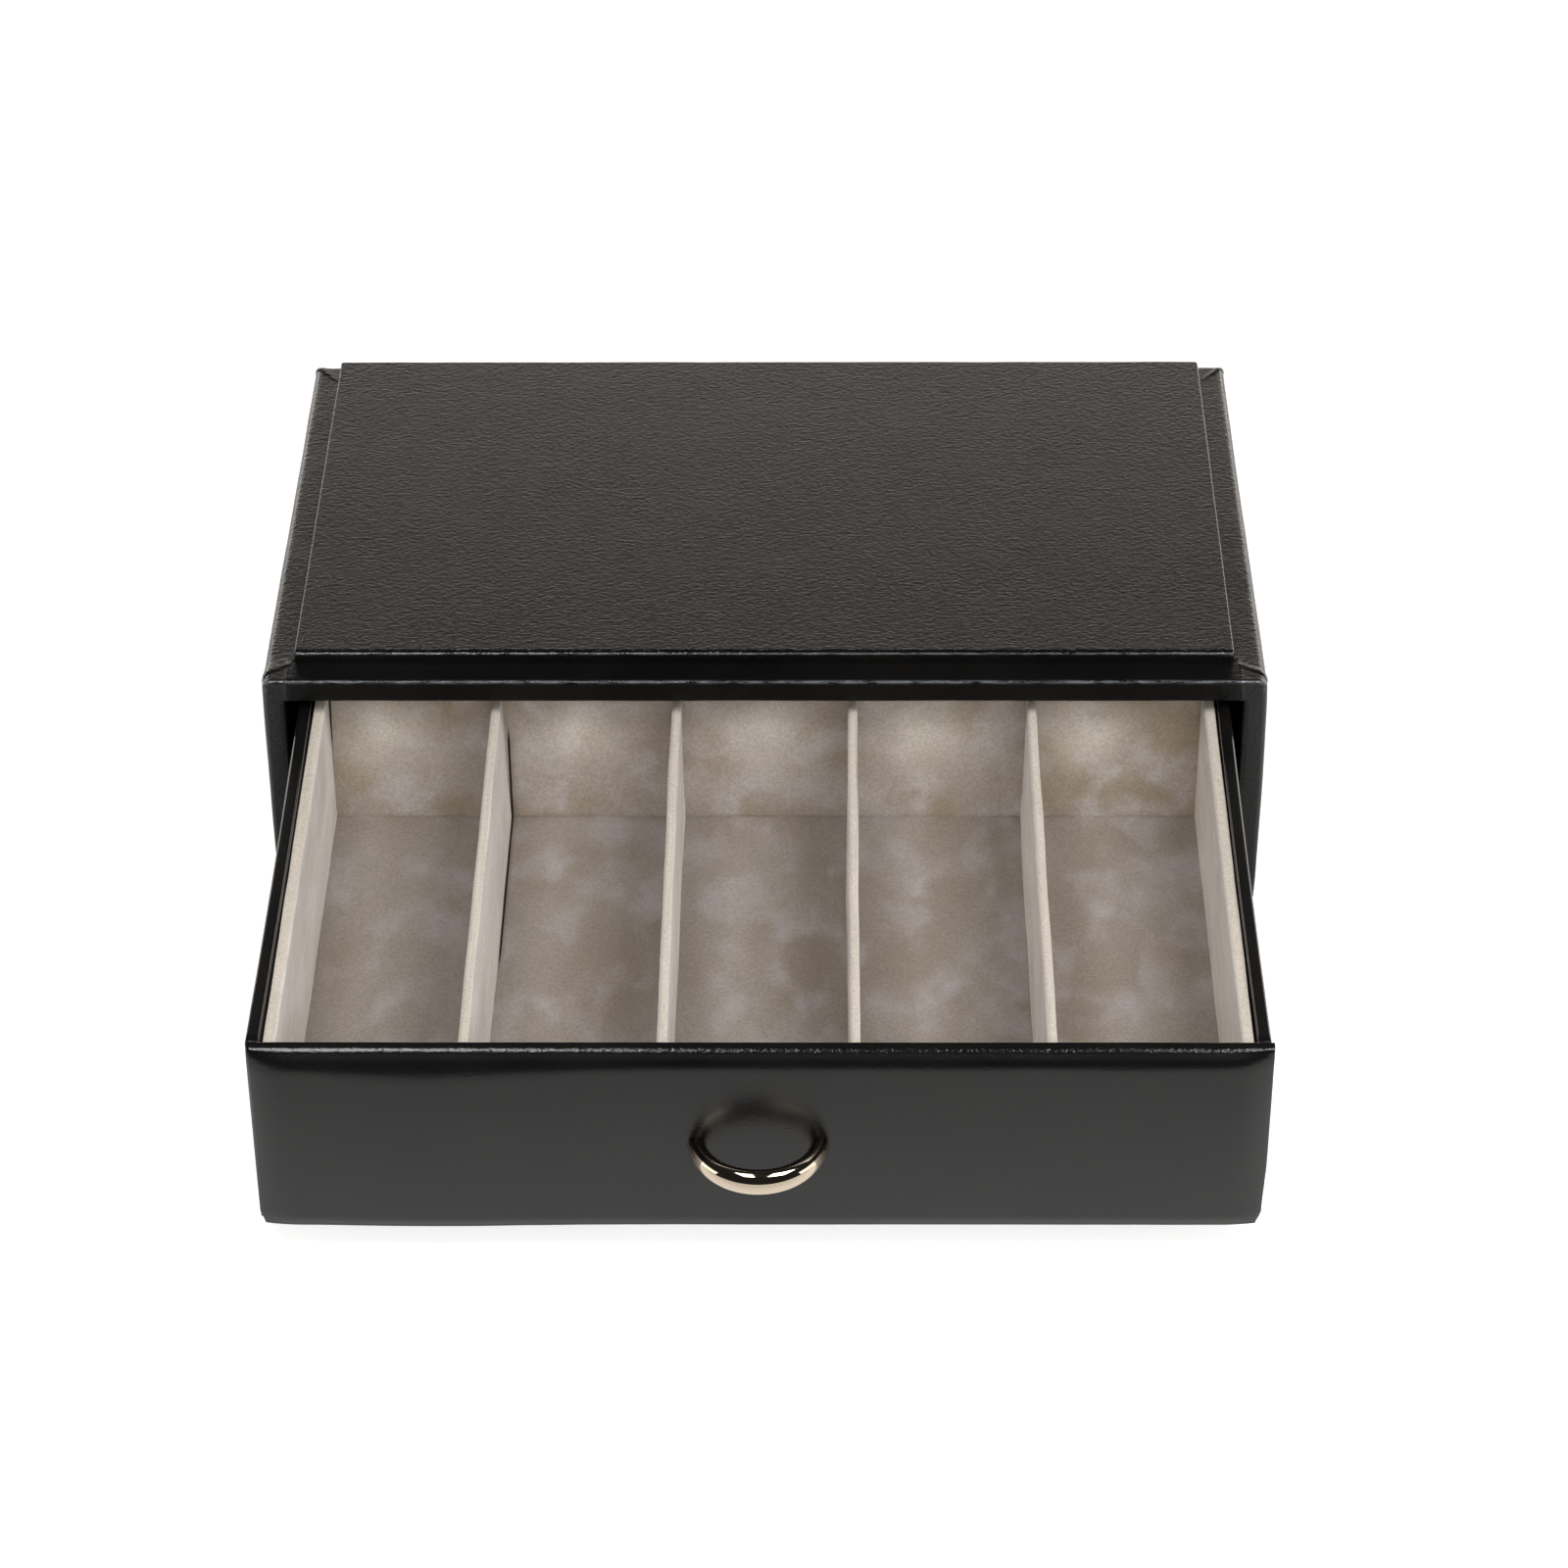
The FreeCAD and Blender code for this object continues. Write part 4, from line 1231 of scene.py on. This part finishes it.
        for number in range(1, 5):
            def lean(place: Vector, normal: Vector, box: Span, number: int = number) -> Vector:
                """Unevenness, a slight lean, and a foot that spreads."""
                up = (place.z - box.low.z) / box.size.z
                along = (place.y - box.low.y) / box.size.y
                tilt = (-0.8, 0.3, -0.2, 0.4)[number - 1] * up
                foot = 0.5 * (1 - ease(up, 0.0, 0.35)) * ease(along, 0.1, 0.6)
                wave = 0.35 * ripple(Vector((number * 9, place.y, 0)), 45, 3.9)
                out = math.copysign(foot, place.x - box.middle.x)
                return Vector((tilt + wave + out, 0, 0)) + soft(place, normal, box)

            self.pad("suede_divider_%d" % number, ["divider_%d" % number],
                     self.finishes.suede_lit_side, divider_edge, lean)


# Carried-over nodes


def dress(finishes: Finishes) -> None:
    """Give every CAD node that stays its finish.

    Args:
        finishes: The materials.
    """
    by_slot = {
        "board": finishes.board,
        "cover_leather": finishes.hide,
        "front_leather": finishes.front_hide,
        "black_lining": finishes.cloth,
        "foam": finishes.foam,
        "suede": finishes.suede,
        "nickel": finishes.nickel,
        "zinc_steel": finishes.zinc,
    }
    slots = {part["node"]: part["material_slot"] for part in frame["record"]["subparts"]}
    for name, node in frame["nodes"].items():
        material = by_slot[slots[name]]
        if not node.material_slots:
            node.data.materials.append(material)
        for entry in node.material_slots:
            entry.material = material
        LOG.info("%s: %s", name, material.name)


# Studio


@dataclass
class Studio:
    """Pale table, soft boxes and the camera at the photograph's angle. Lengths in metres."""

    lens: float = 105.49
    pitch: float = 36.238
    yaw: float = -0.597
    roll: float = -0.352
    place: tuple[float, float, float] = (0.0203, -1.2933, 1.0025)
    fill: float = 0.25
    dim: float = 0.02
    table_glow: float = 0.76
    table_edge: float = -0.56
    sheen: float = 0.38
    side_sheen: float = 0.45

    def camera(self) -> None:
        """The camera."""
        data = bpy.data.cameras.new("camera")
        data.lens = self.lens
        data.sensor_width = 36.0
        data.clip_start = 0.05
        data.clip_end = 60.0
        pitch, yaw, roll = (math.radians(angle) for angle in (self.pitch, self.yaw, self.roll))
        ahead = Vector((math.sin(yaw) * math.cos(pitch), math.cos(yaw) * math.cos(pitch),
                        -math.sin(pitch)))
        right = Vector((math.cos(yaw), -math.sin(yaw), 0))
        up = right.cross(ahead)
        right, up = (right * math.cos(roll) + up * math.sin(roll),
                     up * math.cos(roll) - right * math.sin(roll))
        eye = bpy.data.objects.new("camera", data)
        turn = Matrix((right, up, -ahead)).transposed().to_4x4()
        eye.matrix_world = Matrix.Translation(self.place) @ turn
        bpy.context.scene.collection.objects.link(eye)
        bpy.context.scene.camera = eye

    def lamp(self, name: str, place: tuple[float, float, float],
             target: tuple[float, float, float], size: tuple[float, float],
             power: float, colour: str = "#ffffff") -> bpy.types.Object:
        """A soft box that faces a point.

        Args:
            name: Its name.
            place: Its centre.
            target: The point it faces.
            size: Width and height.
            power: Power in watts.
            colour: Its colour.

        Returns:
            The lamp.
        """
        data = bpy.data.lights.new(name, "AREA")
        data.shape = "RECTANGLE"
        data.size, data.size_y = size
        data.energy = power
        data.color = linear(colour)[:3]
        lamp = bpy.data.objects.new(name, data)
        lamp.location = place
        way = Vector(place) - Vector(target)
        lamp.rotation_euler = way.to_track_quat("Z", "Y").to_euler()
        lamp.visible_camera = False
        bpy.context.scene.collection.objects.link(lamp)
        return lamp

    def table(self) -> None:
        """A pale table top that is white to the camera and keeps the object's shadow; strips before
        the drawer and beside the box glow for glossy rays only, a painted reflection.
        """
        mesh = bmesh.new()
        bmesh.ops.create_grid(mesh, x_segments=1, y_segments=1, size=4.0)
        bmesh.ops.translate(mesh, vec=(0, 4.0 + self.table_edge, -0.0002), verts=mesh.verts)
        data = bpy.data.meshes.new("table")
        mesh.to_mesh(data)
        mesh.free()
        top = bpy.data.objects.new("table", data)
        bpy.context.scene.collection.objects.link(top)
        material, tree = new_material("white_table_painted_reflection")
        rays = add(tree, "LightPath")
        place = add(tree, "TexCoord").outputs["Object"]
        across, ahead = add(tree, "SeparateXYZ", links={0: place}).outputs[:2]
        # Painted reflection: a glow that only glossy rays see, before the drawer front and beside
        # the box.
        near = add(tree, "MapRange", {"interpolation_type": "SMOOTHSTEP", "From Min": -0.34,
                                      "From Max": -0.19, "To Max": self.sheen},
                   {"Value": ahead}).outputs[0]
        before = arithmetic(tree, "LESS_THAN", ahead, -0.188)
        beside = add(tree, "MapRange", {"interpolation_type": "SMOOTHSTEP", "From Min": 0.18,
                                        "From Max": 0.26, "To Max": self.side_sheen},
                     {"Value": arithmetic(tree, "ABSOLUTE", across)}).outputs[0]
        gloss = arithmetic(tree, "ADD", arithmetic(tree, "MULTIPLY", near, before),
                           arithmetic(tree, "MULTIPLY", beside,
                                      arithmetic(tree, "SUBTRACT", 1.0, before)))
        gloss = arithmetic(tree, "MULTIPLY", gloss, rays.outputs["Is Glossy Ray"])
        seen = arithmetic(tree, "MULTIPLY", rays.outputs["Is Camera Ray"], self.table_glow)
        seen = arithmetic(tree, "ADD", seen, gloss)
        plain = add(tree, "BsdfDiffuse", {"Color": linear("#c6c5c3")})
        glow = add(tree, "Emission", {"Color": (1, 1, 1, 1)}, {"Strength": seen})
        both = add(tree, "AddShader", links={0: plain.outputs[0], 1: glow.outputs[0]})
        add(tree, "OutputMaterial", links={"Surface": both.outputs[0]})
        data.materials.append(material)

    def room(self) -> None:
        """White to the camera, an even pale fill for matt surfaces, dim to gloss and metal."""
        world = bpy.data.worlds.new("studio")
        bpy.context.scene.world = world
        world.use_nodes = True
        tree = world.node_tree
        tree.nodes.clear()
        rays = add(tree, "LightPath")
        strength = arithmetic(tree, "MULTIPLY_ADD", rays.outputs["Is Diffuse Ray"],
                              self.fill, self.dim)
        dim = add(tree, "Background", {"Color": (1, 1, 1, 1)}, {"Strength": strength})
        white = add(tree, "Background", {"Color": (1, 1, 1, 1), "Strength": 1.0})
        seen = arithmetic(tree, "MAXIMUM", rays.outputs["Is Camera Ray"],
                          rays.outputs["Is Transmission Ray"])
        both = add(tree, "MixShader", links={0: seen, 1: dim.outputs[0], 2: white.outputs[0]})
        add(tree, "OutputWorld", links={"Surface": both.outputs[0]})

    def build(self) -> None:
        """Set up camera, table, room and lamps."""
        self.camera()
        self.table()
        self.room()
        self.lamp("overhead_left", (-0.345, -0.70, 1.5), (-0.345, -0.70, 0), (0.41, 0.9), 11.0)
        self.lamp("overhead_right", (0.715, -0.70, 1.5), (0.715, -0.70, 0), (0.73, 0.9), 20.0)
        self.lamp("back_wall", (1.2, 3.9, 0.8), (1.2, 0, 0.8), (9.0, 1.6), 129, "#fff7f0")
        for side, sign in (("left", -1), ("right", 1)):
            card = self.lamp("card_" + side, (4.0 * sign, 0.2, 0.8), (0, 0.2, 0.8), (4.5, 1.6),
                             40)
            card.visible_diffuse = False
        fill = self.lamp("front_fill", (0.5, -1.7, 1.15), (0, 0, 0.05), (3.0, 1.0), 24)
        fill.visible_glossy = False
        bpy.context.scene.view_settings.view_transform = "Standard"


def main() -> None:
    """Build the box and the studio."""
    logging.basicConfig(level=logging.INFO, format="%(message)s")
    Studio().build()
    finishes = Finishes()
    dress(finishes)
    Casing(finishes).build()
    PaddedFront(finishes).build()
    Walls(finishes).build()
    BowHandle(finishes).build()
    Insert(finishes).build()


if __name__ == "__main__":
    main()
